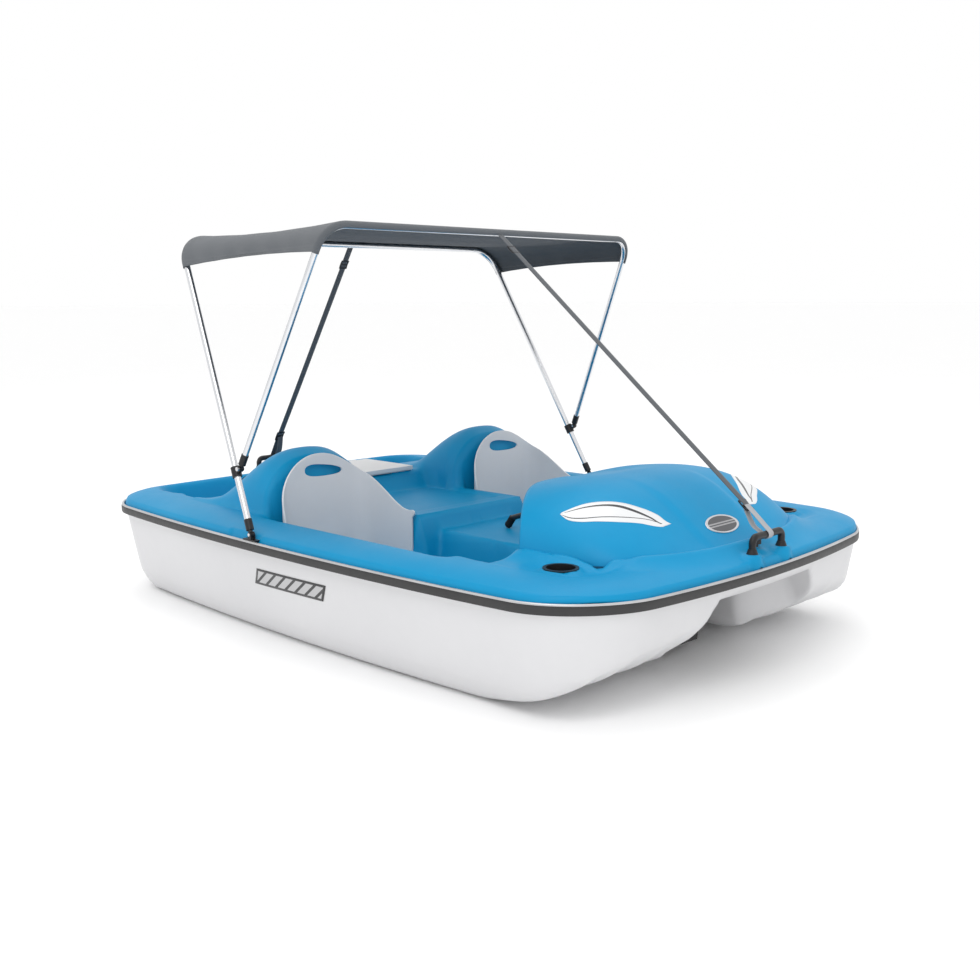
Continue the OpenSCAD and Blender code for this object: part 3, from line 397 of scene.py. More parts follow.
def cutter(kind, place, turn=(0, 0, 0), **sizes):
    add = {"round": bpy.ops.mesh.primitive_cylinder_add, "square": bpy.ops.mesh.primitive_cube_add}[kind]
    add(location=place, rotation=turn, **sizes)
    return bpy.context.object


def cut_away(obj, cutters):
    bpy.ops.object.select_all(action="DESELECT")
    for c in cutters:
        c.select_set(True)
    bpy.context.view_layer.objects.active = cutters[0]
    bpy.ops.object.transform_apply(location=True, rotation=True, scale=True)
    if len(cutters) > 1:
        bpy.ops.object.join()
    tool = bpy.context.view_layer.objects.active
    apply_modifier(obj, "BOOLEAN", operation="DIFFERENCE", object=tool, solver="MANIFOLD")
    bpy.data.objects.remove(tool, do_unlink=True)


apply_modifier(deck, "SOLIDIFY", thickness=0.004, offset=-1)
holes = []
for side in (-1, 1):
    y = side * side_y
    tilt = (0, -math.radians(35), 0)
    across = (math.pi / 2, 0, 0)
    holes.append(cutter("round", (drink_x, y, 0.34), radius=0.042, depth=0.12, vertices=64))
    holes.append(cutter("round", (-0.505, y, 0.412), tilt, radius=0.0235, depth=0.3))
    holes.append(cutter("round", (wheel_x, side * 0.18, wheel_z), across, radius=0.016, depth=0.12))
holes.append(cutter("round", (0.4, 0, 0.28), radius=0.0133, depth=0.1))
tub = cutter("square", (-0.62, 0, 0.33), size=1)
tub.scale = (0.262, 0.322, 0.3)
holes.append(tub)
cut_away(deck, holes)
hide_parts("deck")
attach(deck, "boat")

# ---------- hull ----------
# The white lower sheet: near-vertical sides, a tight chine, two keels with a shallow
# V beside the tunnel, a tunnel that flares at the bow, and ribs under each bow.
tunnel_low, tunnel_high = 0.190, 0.140
arch_round, arch_half = 0.256, 0.125
flange_under, flange_reach = 0.298, 0.021


def hull_shape(x, y):
    a = np.abs(y)
    d = inset_at(x, y) - 0.022
    side = 0.296 - 0.212 * np.clip(d / 0.042, 0, 1)
    chine = 0.084 * (1 - np.clip((d - 0.042) / 0.085, 0, 1)) ** 2.2
    z = np.where(d < 0.042, side, chine)
    # keel flats and the shallow V inboard of them
    z = np.maximum(z, 0.050 * np.clip((0.405 - a) / 0.2, 0, 1) ** 1.3)
    # round bow with scalloped ribs
    ahead_of = np.clip((x - (half_long - 0.575)) / 0.553, 0, 1)
    ribs = 0.010 * np.abs(np.sin((a - 0.30) * math.pi / 0.125)) * np.sqrt(ahead_of) * (1 - ahead_of ** 6)
    ribs = ribs * ease((a - 0.2) / 0.05) * ease((0.66 - a) / 0.05)
    bow = 0.296 * (1 - np.sqrt(1 - ahead_of ** 2.0)) + ribs
    z = np.where(bow > 0.0004, toward(np.maximum(z, bow), soft_max(z, bow, 0.02), ease(bow / 0.02)), z)
    # raked transom
    aft = np.clip((-(x + half_long) + 0.115) / 0.08, 0, 1)
    z = np.maximum(z, 0.05 * aft ** 2)
    # tunnel between the pontoons, and the arch round the paddle wheel
    roof = np.interp(x, [-1.2, 0.15, 0.47, 1.2], [0.160, 0.160, 0.262, 0.262])
    mouth = ease((x - 0.92) / 0.14)
    low, high = tunnel_low + 0.21 * mouth, tunnel_high + 0.07 * mouth
    wall = (low - a) / (low - high)
    wall = np.where(a < low + 0.006, np.clip(wall + 0.12, 0, 1), 0)
    z = np.maximum(z, roof * wall)
    arch = wheel_z + np.sqrt(np.maximum(arch_round ** 2 - (x - wheel_x) ** 2, 0))
    in_arch = (a < arch_half) & (np.abs(x - wheel_x) < arch_round)
    over_wheel = toward(z, arch, ease((arch_half - a) / 0.012))
    z = np.maximum(z, np.where(in_arch, over_wheel, 0))
    return np.where(inset_at(x, y) < flange_reach, flange_under, z)


hull = drawn_sheet("hull_shell", 250, 180, (0.80, 0.0075, 0.155, 1.15), hull_shape)
hull_white.onto(hull)
on_all_faces((bpy.ops.mesh.flip_normals, {}))
apply_modifier(hull, "SOLIDIFY", thickness=0.0035, offset=-1)
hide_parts("hull")
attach(hull, "boat")

# ---------- front cowl ----------
# A round hood of the same blue sheet over the pedals and the wheel, open at the
# rear for the legs, with a raised spine down its nose and a rolled rear lip.
cowl_foot = 0.344


def cowl_top(x):
    return np.interp(x, COWL_X, COWL_Z)


def smooth_line(points, count):
    p = np.array(points, float)
    t = np.arange(len(p))
    fine = np.linspace(0, len(p) - 1, count)
    out = []
    for axis in range(p.shape[1]):
        q = p[:, axis]
        m = np.gradient(q)
        i = np.minimum(fine.astype(int), len(p) - 2)
        f = fine - i
        out.append((2 * f ** 3 - 3 * f ** 2 + 1) * q[i] + (f ** 3 - 2 * f ** 2 + f) * m[i]
                   + (-2 * f ** 3 + 3 * f ** 2) * q[i + 1] + (f ** 3 - f ** 2) * m[i + 1])
    return np.stack(out, 1)


COWL_X, COWL_Z = smooth_line([
    (0.40, 0.472), (0.47, 0.495), (0.56, 0.516), (0.68, 0.529), (0.78, 0.524), (0.86, 0.499),
    (0.93, 0.456), (0.99, 0.410), (1.04, 0.374), (1.09, 0.352)], 120).T

cowl, co = flat_grid("cowl_shell", 110, 150)
u, v = (co[:, 0] + 1) / 2, np.sin(co[:, 1] * math.pi / 2)
y = v * cowl_half
nose = np.maximum(1 - np.abs(v) ** cowl_power, 0) ** (1 / cowl_power)
front = cowl_mid + (cowl_nose - cowl_mid) * nose
rear = 0.430 + 0.243 * np.abs(v) ** 1.7
x = rear + (front - rear) * np.sin(u * math.pi / 2) ** 0.9
ahead = np.clip(x - cowl_mid, 0, None) / (cowl_nose + 0.004 - cowl_mid)
reach = cowl_half * np.maximum(1 - ahead ** cowl_power, 1e-4) ** (1 / cowl_power)
crown = np.sqrt(np.maximum(1 - np.clip(np.abs(y) / reach, 0, 1) ** 3.2, 0))
z = cowl_foot + (cowl_top(x) - cowl_foot) * crown
spine = ease((x - 0.72) / 0.2) * ease((1.07 - x) / 0.06)
z = z + 0.007 * spine * (ease((0.155 - np.abs(y)) / 0.03) - 0.4)
z = z - 0.010 * ease((0.16 - np.hypot((x - 0.60) / 1.5, y)) / 0.1) * ease((0.70 - x) / 0.12)
put_corners(cowl, np.stack([x, y, np.maximum(z, cowl_foot)], 1))
bpy.ops.object.shade_smooth()
apply_modifier(cowl, "SOLIDIFY", thickness=0.005, offset=-1)
deck_blue.onto(cowl)
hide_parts("front_cowl")
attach(cowl, "boat")

# ---------- seat backs ----------
# Two copies of one white scoop that slide along their bays in front of the domes:
# a high back with a grip hole, a short side to starboard and a long wing to port.
BACK_LINE = [
    (-0.004, 0.253, 0.350), (-0.014, 0.253, 0.354), (-0.034, 0.253, 0.352), (-0.062, 0.253, 0.357),
    (-0.098, 0.253, 0.374), (-0.138, 0.253, 0.399), (-0.180, 0.253, 0.424), (-0.220, 0.257, 0.447),
    (-0.253, 0.272, 0.466), (-0.270, 0.298, 0.486), (-0.277, 0.330, 0.506), (-0.2795, 0.375, 0.526),
    (-0.2795, 0.420, 0.5335), (-0.278, 0.470, 0.529), (-0.274, 0.520, 0.508), (-0.266, 0.560, 0.476),
    (-0.254, 0.588, 0.440), (-0.242, 0.603, 0.404), (-0.228, 0.608, 0.358), (-0.214, 0.609, 0.318),
    (-0.150, 0.609, 0.298), (-0.080, 0.609, 0.294), (-0.010, 0.609, 0.293)]
line_steps = 800
back_low = 0.2035
bay_across = 0.862
grip_y, grip_z, grip_wide, grip_up, grip_down = 0.411, 0.4755, 0.076, 0.0200, 0.0190


def seat_back(name, node, body, y_at):
    obj, co = flat_grid(name, 150, 46)
    u, v = (co[:, 0] + 1) / 2, (co[:, 1] + 1) / 2
    line = smooth_line(BACK_LINE, line_steps)
    x, y, top = [np.interp(u * (line_steps - 1), np.arange(line_steps), values) for values in line.T]
    z = back_low + (top - back_low) * v
    # the wing's front edge curls in below its tab
    x = x - 0.011 * ease((0.342 - z) / 0.014) * ease((x + 0.05) / 0.04) * (y < 0.4)
    # the panel is a little dished between its edges
    middle = ease((y - 0.29) / 0.1) * ease((0.58 - y) / 0.1)
    x = x - 0.003 * middle * ease((top - z) / 0.05) * ease((z - 0.24) / 0.06)
    put_corners(obj, np.stack([x, y_at(y), z], 1))
    bpy.ops.object.shade_smooth()
    on_all_faces((bpy.ops.mesh.flip_normals, {}))
    apply_modifier(obj, "SOLIDIFY", thickness=0.0052, offset=1)
    grip = cutter("round", (0, 0, 0), radius=1, depth=1, vertices=72)
    co = corners(grip)
    shape = co[:, :2] / np.maximum(np.hypot(co[:, 0], co[:, 1]), 1e-6)[:, None]
    around, up = (np.sign(shape) * np.abs(shape) ** 0.80).T
    # fuller at the outer end, and flatter below than above
    high = up * np.where(up > 0, grip_up, grip_down) * (1 + 0.22 * around)
    z = grip_z + high + 0.006 * around
    put_corners(grip, np.stack([-0.27 + co[:, 2] * 0.08, y_at(grip_y + grip_wide * around), z], 1))
    on_all_faces((bpy.ops.mesh.normals_make_consistent, {"inside": False}))
    cut_away(obj, [grip])
    edges = {"limit_method": "ANGLE", "angle_limit": math.radians(50)}
    apply_modifier(obj, "BEVEL", width=0.0016, segments=2, **edges)
    bpy.ops.object.shade_smooth_by_angle(angle=math.radians(40))
    seat_white.onto(obj)
    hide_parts(node)
    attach(obj, body)


seat_back("back_panel_starboard", "seat_back_starboard", "back_starboard", lambda across: -across)
seat_back("back_panel_port", "seat_back_port", "back_port", lambda across: bay_across - across)

# ---------- rub rail ----------
# A dark extruded vinyl rail snapped over the joined flanges all round, with a
# bright strip pressed into its top.
rail_paint = Paint("rail_vinyl", Specular_IOR_Level=0.5)
vinyl, vinyl_light = (0.014, 0.014, 0.015, 1), (0.032, 0.031, 0.032, 1)
rail_paint.set("Base Color", rail_paint.blend(vinyl, vinyl_light, rail_paint.noise(6.0)))
rail_paint.set("Roughness", rail_paint.noise(90.0, detail=2.0) * 0.2 + 0.36)
rail_paint.bump(rail_paint.noise(300.0), 0.15, 0.0003)
trim_paint = Paint("rail_bright", Metallic=0.9, Anisotropic=0.3)
bright, bright_light = (0.42, 0.42, 0.43, 1), (0.66, 0.66, 0.67, 1)
trim_paint.set("Base Color", trim_paint.blend(bright, bright_light, trim_paint.noise(9.0)))
trim_paint.set("Roughness", trim_paint.noise(400.0, (1, 1, 8)) * 0.18 + 0.28)
trim_paint.bump(trim_paint.noise(900.0), 0.1, 0.0002)


def ring_along(name, profile, count=560):
    """A closed rail: profile is (inset, height) round its section, from the outside upwards."""
    k = len(profile)
    obj, co = flat_grid(name, count, k)
    turn = (co[:, 0] + 1) * math.pi
    step = np.rint((co[:, 1] + 1) / 2 * k).astype(int) % k
    u, v = np.cos(turn), np.sin(turn)
    far = np.maximum(np.abs(u), np.abs(v))
    section = np.array(profile)[step]
    x, y = rail_point(u / far, v / far, section[:, 0])
    put_corners(obj, np.stack([x, y, section[:, 1]], 1))
    on_all_faces((bpy.ops.mesh.remove_doubles, {"threshold": 0.00002}),
                 (bpy.ops.mesh.normals_make_consistent, {"inside": False}))
    bpy.ops.object.shade_smooth_by_angle(angle=math.radians(35))
    return obj


rail = ring_along("rail_vinyl", [
    (0.0002, 0.3035), (0.0, 0.3085), (0.0004, 0.3125), (0.0018, 0.3155), (0.0045, 0.3168),
    (0.0085, 0.3172), (0.0118, 0.3168), (0.0128, 0.3155), (0.0128, 0.3062), (0.0135, 0.3045),
    (0.0215, 0.3045), (0.0215, 0.2958), (0.0218, 0.2940), (0.0205, 0.2925), (0.012, 0.2922),
    (0.004, 0.2922), (0.0012, 0.2932), (0.0002, 0.2955)])
rail_paint.onto(rail)
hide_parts("rub_rail")
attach(rail, "boat")
trim = ring_along("rail_strip", [
    (0.0018, 0.3165), (0.0020, 0.3190), (0.0032, 0.3208), (0.0055, 0.3218), (0.0082, 0.3219),
    (0.0108, 0.3209), (0.0122, 0.3192), (0.0124, 0.3165), (0.0095, 0.3160), (0.0045, 0.3160)])
trim_paint.onto(trim)
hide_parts("rail_trim")
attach(trim, "boat")

# ---------- canopy ----------
# One piece of coated slate-grey cloth sewn over the two bows: it wraps their
# cross tubes and bends and hangs a short way down outside the legs.
cloth = Paint("canopy_cloth", Sheen_Weight=0.15, Sheen_Roughness=0.6, Specular_IOR_Level=0.3)
# the inside face of the same cloth, in darker colours: painted shade under the roof and inside the drop
# panels
underside_painted_shade = Paint("canopy_underside_painted_shade", Specular_IOR_Level=0.25)


def cloth_weave(paint, dark, light, strength):
    where = paint.node("UVMap", {}, {})
    split = paint.node("SeparateXYZ", {}, {0: where})
    across = Wire(paint, split.socket.node.outputs[0])
    along = Wire(paint, split.socket.node.outputs[1])
    warp = paint.node("Math", {"operation": "SINE"}, {0: across * 9000.0})
    weft = paint.node("Math", {"operation": "SINE"}, {0: along * 9000.0})
    drift = paint.node("TexNoise", {}, {0: where, "Scale": 5.0, "Detail": 4.0})
    thread = paint.node("TexNoise", {}, {0: where, "Scale": 700.0, "Detail": 2.0})
    # lock stitching: two rows along each hem and beside each sleeve
    edge = paint.node("Attribute", {"attribute_name": "hem"}, {}, out=2)
    row = paint.node("Math", {"operation": "PINGPONG"}, {0: edge, 1: 0.5})
    stitch = (edge.over(0.3) - edge.over(0.36)) + (edge.over(0.64) - edge.over(0.70))
    dash = paint.node("Math", {"operation": "SINE"}, {0: (along + across) * 1500.0}).over(-0.3)
    thread_mask = stitch * dash
    body = paint.blend(dark, light, drift * 0.7 + thread * 0.3)
    paint.set("Base Color", paint.blend(body, (0.16, 0.17, 0.18, 1), thread_mask * 0.6))
    paint.set("Roughness", thread * 0.14 + 0.66)
    paint.bump(warp * weft * 0.5 + thread * 0.4 + thread_mask * 0.8 + row * 0.3, strength, 0.0005)


cloth_weave(cloth, (0.078, 0.087, 0.098, 1), (0.112, 0.123, 0.136, 1), 0.5)
# the inside face gets the same weave in darker colours, which are painted shade
cloth_weave(underside_painted_shade, (0.060, 0.066, 0.073, 1), (0.090, 0.098, 0.106, 1), 0.4)


def bow_frame(cross, lean, half, radius, slope):
    """A bow's plane: where a point lies at a distance across, and which way is outwards there."""
    up = np.array([-math.sin(lean), 0, math.cos(lean)])
    fore = np.array([math.cos(lean), 0, math.sin(lean)])
    sideways = np.array([0, 1, 0])
    turn = math.pi / 2 - slope
    flat = half - radius * math.tan(turn / 2)

    def at(share, side):
        # share runs 0..1 along the flat, 1..2 round the bend, 2..3 down the leg
        a = np.clip(share - 1, 0, 1) * turn
        down = np.clip(share - 2, 0, 1) * leg_drop
        y = np.minimum(share, 1) * flat + radius * np.sin(a) + down * math.sin(slope)
        w = -radius * (1 - np.cos(a)) - down * math.cos(slope)
        middle = np.array([cross[0], 0, cross[1]])
        place = middle + w[:, None] * up + (side * y)[:, None] * sideways
        out = np.cos(a)[:, None] * up + (side * np.sin(a))[:, None] * sideways
        return place, out
    return at, fore, flat


leg_drop = 0.012
main_cross, front_cross = (-0.5955, 1.2228), (0.1260, 1.2353)
aft_slope, bow_slope = math.radians(5.21), math.radians(6.66)
aft_at, aft_fore, aft_flat = bow_frame(main_cross, math.radians(27.8), 0.706, 0.100, aft_slope)
bow_at, bow_fore, bow_flat = bow_frame(front_cross, math.radians(-24.8), 0.688, 0.082, bow_slope)
wrap_r = 0.0122
canopy, co = flat_grid("canopy_cloth", 92, 170)
p, q = (co[:, 0] + 1) / 2, co[:, 1]
side = np.where(q < 0, -1.0, 1.0)
share = np.interp(np.abs(q), [0, 0.72, 0.96, 1.0], [0, 1, 2, 3])
aft, aft_out = aft_at(share, side)
fore, fore_out = bow_at(share, side)
wrap_share = 0.08
phi_aft = np.radians(np.interp(p, [0, wrap_share], [187.2, 80.0]))
phi_fore = np.radians(np.interp(p, [1 - wrap_share, 1], [98.0, -10.0]))
wrap_aft = aft + wrap_r * (np.cos(phi_aft)[:, None] * aft_fore + np.sin(phi_aft)[:, None] * aft_out)
wrap_fore = fore + wrap_r * (np.cos(phi_fore)[:, None] * bow_fore + np.sin(phi_fore)[:, None] * fore_out)
t = np.clip((p - wrap_share) / (1 - 2 * wrap_share), 0, 1)
point = wrap_aft * (1 - t)[:, None] + wrap_fore * t[:, None]
belly = 4 * t * (1 - t)
flatness = ease(1.9 - share)
hang = ease(share - 1.1)
point[:, 2] -= 0.013 * belly * flatness
point[:, 1] -= side * 0.010 * belly * hang
point[:, 2] += 0.010 * belly * ease((share - 1.6) / 1.2)
# tension creases that fade from the bows towards the middle
lines = np.sin(point[:, 1] * 2 * math.pi / 0.083 + 1.3 * np.sin(point[:, 1] * 7.0))
near_bow = np.exp(-t * 7) + np.exp(-(1 - t) * 6)
point[:, 2] += 0.0011 * lines * near_bow * np.clip(belly * 6, 0, 1) * flatness
slack = np.sin(point[:, 0] * 2 * math.pi / 0.19 + 0.8) * np.sin(point[:, 1] * 5.0 + 0.4)
point[:, 2] += 0.0016 * slack * belly * flatness
pull = np.sin((point[:, 0] + point[:, 2] * 0.6) * 2 * math.pi / 0.11)
point[:, 1] += side * 0.0016 * pull * hang * np.clip(belly * 3, 0, 1)
put_corners(canopy, point)
bpy.ops.object.shade_smooth()
sheet_wide = 2 * (aft_flat + 0.100 * math.radians(84.8) + leg_drop)
sheet_long = 0.722 + 2 * wrap_r * math.radians(107)
run_across = np.interp(share, [0, 1, 2, 3], [0, aft_flat, aft_flat + 0.148, sheet_wide / 2]) * side
hem_far = np.minimum(sheet_wide / 2 - np.abs(run_across), np.minimum(p, 1 - p) * sheet_long)
lay_uv(canopy, run_across, p * sheet_long)
hem = canopy.data.attributes.new("hem", "FLOAT", "POINT")
hem.data.foreach_set("value", np.clip(1 - hem_far / 0.03, 0, 1).astype(np.float32))
cloth.onto(canopy)
# the second material, the same cloth painted darker as painted shade, goes on the shell that the
# solidify below adds
canopy.data.materials.append(underside_painted_shade.material)
area = sum(f.area for f in canopy.data.polygons)
apply_modifier(canopy, "SOLIDIFY", thickness=0.0012, offset=1, material_offset=1)
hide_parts("canopy")
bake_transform(canopy)
area / sheet_wide

# ---------- straps and sliders ----------
# Flat woven webbing from the middle of each cross tube to the handle below it:
# it loops round the grip and doubles back to a black three-bar slider.
webbing = Paint("strap_webbing", Specular_IOR_Level=0.3, Sheen_Weight=0.1)
light_web = Paint("strap_light", Specular_IOR_Level=0.4)


def web_paint(paint, dark, light):
    where = paint.node("UVMap", {}, {})
    split = paint.node("SeparateXYZ", {}, {0: where})
    run = Wire(paint, split.socket.node.outputs[0])
    width = Wire(paint, split.socket.node.outputs[1])
    rib = paint.node("Math", {"operation": "SINE"}, {0: run * 2600.0})
    twill = paint.node("Math", {"operation": "SINE"}, {0: (run + width) * 1900.0})
    fuzz = paint.node("TexNoise", {}, {0: where, "Scale": 500.0, "Detail": 2.0})
    edge = paint.node("Math", {"operation": "PINGPONG"}, {0: width, 1: 0.0125}) * 80.0
    paint.set("Base Color", paint.blend(dark, light, fuzz * 0.6 + twill * 0.2 + edge * 0.2))
    paint.set("Roughness", fuzz * 0.2 + 0.6)
    paint.bump(rib * 0.6 + twill * 0.3, 0.5, 0.0004)


web_paint(webbing, (0.060, 0.066, 0.074, 1), (0.13, 0.14, 0.155, 1))
web_paint(light_web, (0.30, 0.31, 0.33, 1), (0.52, 0.53, 0.55, 1))


def strap_ribbon(name, path, width, paint):
    """Webbing along a path of (x, z) points in the middle plane of the boat."""
    line = smooth_line(path, len(path) * 10)
    obj, co = flat_grid(name, len(line) - 1, 4)
    step = np.rint((co[:, 0] + 1) / 2 * (len(line) - 1)).astype(int)
    across = co[:, 1].copy()
    put_corners(obj, np.stack([line[step, 0], across * width / 2, line[step, 1]], 1))
    run = np.concatenate([[0], np.cumsum(np.hypot(*np.diff(line, axis=0).T))])
    lay_uv(obj, run[step], across * width / 2)
    bpy.ops.object.shade_smooth()
    apply_modifier(obj, "SOLIDIFY", thickness=0.0015, offset=0)
    paint.onto(obj)
    return obj


def slider(name, place, away, size):
    """A three-bar slide: a plate with two slots, threaded by the webbing."""
    obj, co = flat_grid(name, 5, 3)
    bars_at = [-0.5, -0.34, -0.10, 0.10, 0.34, 0.5]
    along = np.interp(co[:, 0], [-1, -0.6, -0.2, 0.2, 0.6, 1], bars_at) * size[0]
    across = np.interp(co[:, 1], [-1, -0.34, 0.34, 1], [-0.5, -0.40, 0.40, 0.5]) * size[1]
    put_corners(obj, np.stack([along, across, np.zeros(len(co))], 1))
    bpy.ops.object.mode_set(mode="EDIT")
    bpy.ops.mesh.select_mode(type="FACE")
    bpy.ops.mesh.select_all(action="DESELECT")
    bpy.ops.object.mode_set(mode="OBJECT")
    for face in obj.data.polygons:
        middle = face.center
        face.select = 0.12 < abs(middle.x) / size[0] < 0.33 and abs(middle.y) < 0.3 * size[1]
    bpy.ops.object.mode_set(mode="EDIT")
    bpy.ops.mesh.delete(type="FACE")
    bpy.ops.object.mode_set(mode="OBJECT")
    apply_modifier(obj, "SOLIDIFY", thickness=0.0042, offset=0)
    edges = {"limit_method": "ANGLE", "angle_limit": math.radians(40)}
    apply_modifier(obj, "BEVEL", width=0.0013, segments=3, **edges)
    co = corners(obj)
    # bowed bars: the middle one stands proud
    co[:, 2] += 0.0016 * np.cos(co[:, 0] / size[0] * math.pi)
    ax, az = away
    turned = np.stack([co[:, 0] * ax - co[:, 2] * az, co[:, 1], co[:, 0] * az + co[:, 2] * ax], 1)
    put_corners(obj, turned + np.array([place[0], 0, place[1]]))
    bpy.ops.object.shade_smooth_by_angle(angle=math.radians(45))
    black_plastic.onto(obj)
    return obj


def hung_strap(end, top, bar, node, buckle_node):
    """The strap of one end: from its cross tube down to the handle's bar and back up to the slider."""
    top, bar = np.array(top), np.array(bar)
    away = (top - bar) / np.hypot(*(top - bar))
    flank = np.array([away[1], -away[0]]) * (1 if top[0] < bar[0] else -1)
    r = loop_round
    near, far = bar + flank * r, bar - flank * r
    slide = near + away * doubled
    long_run = [top, top * 0.66 + near * 0.34, top * 0.33 + near * 0.67, slide + away * 0.02, slide]
    loop = [slide + flank * 0.0012, near + away * doubled * 0.6 + flank * 0.001]
    loop += [near + away * 0.02, near]
    loop += [bar + r * (flank * math.cos(a) - away * math.sin(a)) for a in (0.6, 1.2, 1.9, 2.5)]
    loop += [far, far + away * 0.02, far + away * doubled * 0.5 - flank * 0.002, slide - flank * 0.0065]
    upper = strap_ribbon(end + "_strap_webbing", long_run, 0.0245, webbing)
    lower = strap_ribbon(end + "_strap_loop", loop, 0.0235, light_web if end == "front" else webbing)
    low_slide = slider(end + "_low_slider", slide - flank * 0.0015, away, (0.040, 0.036))
    high = top - away * 0.075
    high_slide = slider(end + "_high_slider", high, away, (0.034, 0.034))
    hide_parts(node)
    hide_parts(buckle_node)
    for piece in (upper, lower, low_slide, high_slide):
        "webbing" if piece in (upper, lower) else "black_plastic"
        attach(piece, "boat")
        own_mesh(piece)


doubled, loop_round, slack_share = 0.098, 0.0118, 0.6
hung_strap("front", (0.1405, 1.2300), (1.133, 0.399), "front_strap", "front_strap_buckle")
hung_strap("rear", (-0.6105, 1.2180), (-1.133, 0.399), "rear_strap", "rear_strap_buckle")

# ---------- decals and badge ----------
# Plain printed film: a leaf on each flank of the cowl and slanted bars on each
# side of the hull. The badge is an oval of dark enamel in a bright metal rim.
film = Paint("cowl_film", Coat_Weight=0.3)
bars = Paint("hull_film", Coat_Weight=0.3)
enamel = Paint("badge_enamel", Coat_Weight=0.5)


def film_axes(paint):
    split = paint.node("SeparateXYZ", {}, {0: paint.node("UVMap", {}, {})})
    return Wire(paint, split.socket.node.outputs[0]), Wire(paint, split.socket.node.outputs[1])


s_run, s_up = film_axes(film)
arc = s_up - (s_run * (1.0 - s_run) * 1.35 + 0.56)
upper_arc = arc.over(-0.085) - arc.over(0.0)
s_low = s_up - (s_run * s_run * 0.55 + 0.10)
lower_arc = s_low.over(0.0) - s_low.over(0.055)
ink = (upper_arc + lower_arc) * (s_run.over(0.04) - s_run.over(0.96))
film.set("Base Color", film.blend((0.72, 0.73, 0.74, 1), (0.012, 0.013, 0.016, 1), ink))
film.set("Roughness", film.noise(40.0) * 0.1 + 0.3)
b_run, b_up = film_axes(bars)
lean_run = b_run * 7.0 + b_up * -1.0
saw = bars.node("Math", {"operation": "FRACT"}, {0: lean_run})
frame_line = (b_up.over(0.14) - b_up.over(0.86)) * (b_run.over(0.03) - b_run.over(0.97))
silver = saw.over(0.30) * frame_line
bars.set("Base Color", bars.blend((0.012, 0.012, 0.014, 1), (0.46, 0.46, 0.47, 1), silver))
bars.set("Roughness", bars.noise(40.0) * 0.1 + 0.32)
e_run, e_up = film_axes(enamel)
rim = e_run.over(0.86)
stripe = (e_up.over(0.40) - e_up.over(0.47)) + (e_up.over(0.53) - e_up.over(0.60))
face = enamel.blend((0.020, 0.022, 0.030, 1), (0.30, 0.30, 0.31, 1), stripe * (1 - rim))
enamel.set("Base Color", enamel.blend(face, (0.62, 0.62, 0.64, 1), rim))
enamel.set("Metallic", rim * 0.8)
enamel.set("Roughness", enamel.noise(60.0) * 0.1 + 0.25)


def pressed_on(name, cells, shape, target, direction, paint, thick=0.0005):
    """A film of cells laid over another piece: shape gives each cell's place and its pattern."""
    obj, co = flat_grid(name, *cells)
    place, pattern = shape((co[:, 0] + 1) / 2, (co[:, 1] + 1) / 2)
    put_corners(obj, place)
    lay_uv(obj, *pattern.T)
    axis = "use_project_" + direction[1]
    negative = direction[0] == "-"
    settings = {axis: True, "use_negative_direction": negative, "use_positive_direction": not negative}
    apply_modifier(obj, "SHRINKWRAP", target=target, wrap_method="PROJECT", offset=0.0012, **settings)
    on_all_faces((bpy.ops.mesh.remove_doubles, {"threshold": 0.00003}))
    bpy.ops.object.shade_smooth()
    apply_modifier(obj, "SOLIDIFY", thickness=thick, offset=0)
    paint.onto(obj)
    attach(obj, "boat")
    return obj


def swoosh(side):
    def shape(s, t):
        # a long leaf, blunt at the rear and drawn out towards the nose
        edge = smooth_line([(0.462, 0.466), (0.452, 0.486), (0.450, 0.491), (0.452, 0.486),
                            (0.450, 0.473), (0.443, 0.454), (0.428, 0.431)], 200)
        step = np.minimum((s * 199).astype(int), 198)
        part = (s * 199 - step)[:, None]
        below, above = (edge[step] * (1 - part) + edge[step + 1] * part).T
        x = 0.752 + 0.203 * s
        z = below + (above - below) * t
        return np.stack([x, np.full(len(s), side * 0.8), z], 1), np.stack([s, t], 1)
    return shape


def slanted(side):
    def shape(s, t):
        x = -0.150 + 0.335 * s + 0.026 * (t - 0.5)
        z = 0.180 + 0.052 * t + 0.004 * s
        along = s if side < 0 else 1 - s
        return np.stack([x, np.full(len(s), side * 0.95), z], 1), np.stack([along, t], 1)
    return shape


def oval(s, t):
    r, turn = s, t * 2 * math.pi
    x = 0.997 + 0.026 * r * np.sin(turn)
    y = 0.075 * r * np.cos(turn) - 0.010
    return np.stack([x, y, np.full(len(s), 0.6)], 1), np.stack([r, 0.5 + 0.5 * r * np.sin(turn)], 1)


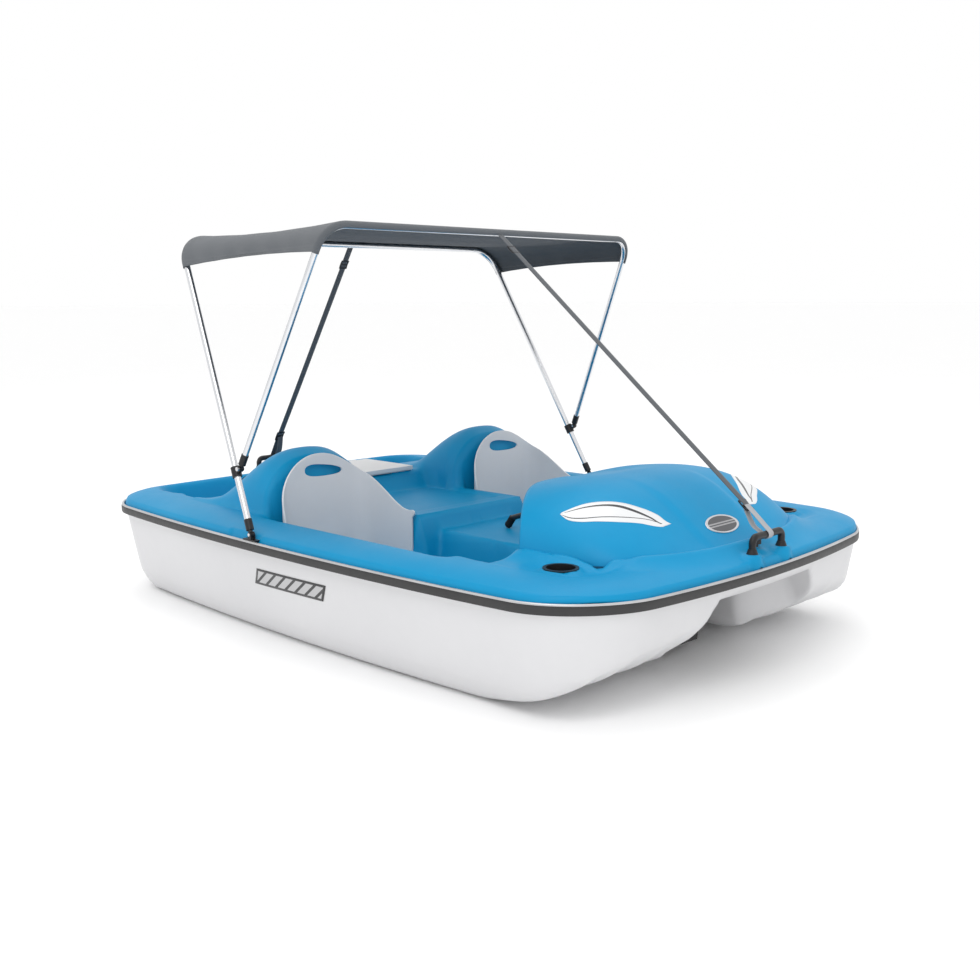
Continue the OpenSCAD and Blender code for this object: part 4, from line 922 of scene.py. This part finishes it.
cowl_films = []
hull_films = []
for side, word, inward in ((-1, "starboard", "+y"), (1, "port", "-y")):
    cowl_films.append(pressed_on("cowl_swoosh_" + word, (60, 22), swoosh(side), cowl, inward, film))
    hull_films.append(pressed_on("hull_bars_" + word, (60, 10), slanted(side), hull, inward, bars))
badge = pressed_on("bow_badge_plate", (14, 64), oval, cowl, "-z", enamel, 0.0018)
for made, node, finish in ((cowl_films, "cowl_decals", "decal_film"),
                           (hull_films, "hull_decals", "decal_film"),
                           ([badge], "bow_badge", "badge_metal")):
    for piece in made:
        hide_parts(node)

# ---------- metals, rubber, foam and plain mouldings ----------
# Everything else keeps its exact shape and gets the finish of the real part:
# drawn aluminium tube, zinc and stainless steel, powder coat, rubber, white plastic and foam.
def bare_metal(name, dark, light, rough, stretch):
    paint = Paint(name, Metallic=1.0)
    drawn = paint.noise(260.0, stretch)
    paint.set("Base Color", paint.blend(dark, light, paint.noise(14.0) * 0.6 + drawn * 0.4))
    paint.set("Roughness", drawn * 0.16 + (rough - 0.08))
    paint.bump(drawn, 0.08, 0.0002)
    return paint


bow_tube = bare_metal("bow_tube", (0.60, 0.61, 0.63, 1), (0.82, 0.83, 0.85, 1), 0.24, (6, 6, 0.4))
zinc = bare_metal("zinc_steel", (0.36, 0.36, 0.37, 1), (0.60, 0.60, 0.62, 1), 0.40, (4, 0.6, 4))
stainless = bare_metal("stainless", (0.55, 0.55, 0.56, 1), (0.75, 0.75, 0.77, 1), 0.28, (3, 3, 1))
powder = moulded_plastic("powder_coat", (0.010, 0.010, 0.011, 1), (0.022, 0.022, 0.024, 1), 0.38, 0.45)
rubber, rubber_light = (0.006, 0.006, 0.006, 1), (0.014, 0.014, 0.014, 1)
grip_rubber = moulded_plastic("grip_rubber", rubber, rubber_light, 0.72, 0.2)
tub_white = moulded_plastic("tub_white", (0.64, 0.645, 0.655, 1), (0.72, 0.725, 0.735, 1), 0.44)
foam = Paint("foam_block", Roughness=0.9)
bead = foam.node("TexVoronoi", {}, {0: foam.place(), "Scale": 240.0})
foam.set("Base Color", foam.blend((0.70, 0.70, 0.67, 1), (0.84, 0.84, 0.82, 1), bead * 1.4))
foam.bump(bead, 0.6, 0.001)
FINISHES = {
    "black_plastic": black_plastic, "screw_steel": stainless, "white_plastic": tub_white, "foam": foam,
    "crank_steel": zinc, "black_metal": powder, "grip_rubber": grip_rubber, "bow_aluminium": bow_tube}
for part in frame["record"]["subparts"]:
    node = frame["nodes"][part["node"]]
    if not node.hide_render:
        FINISHES[part["material_slot"]].onto(node)
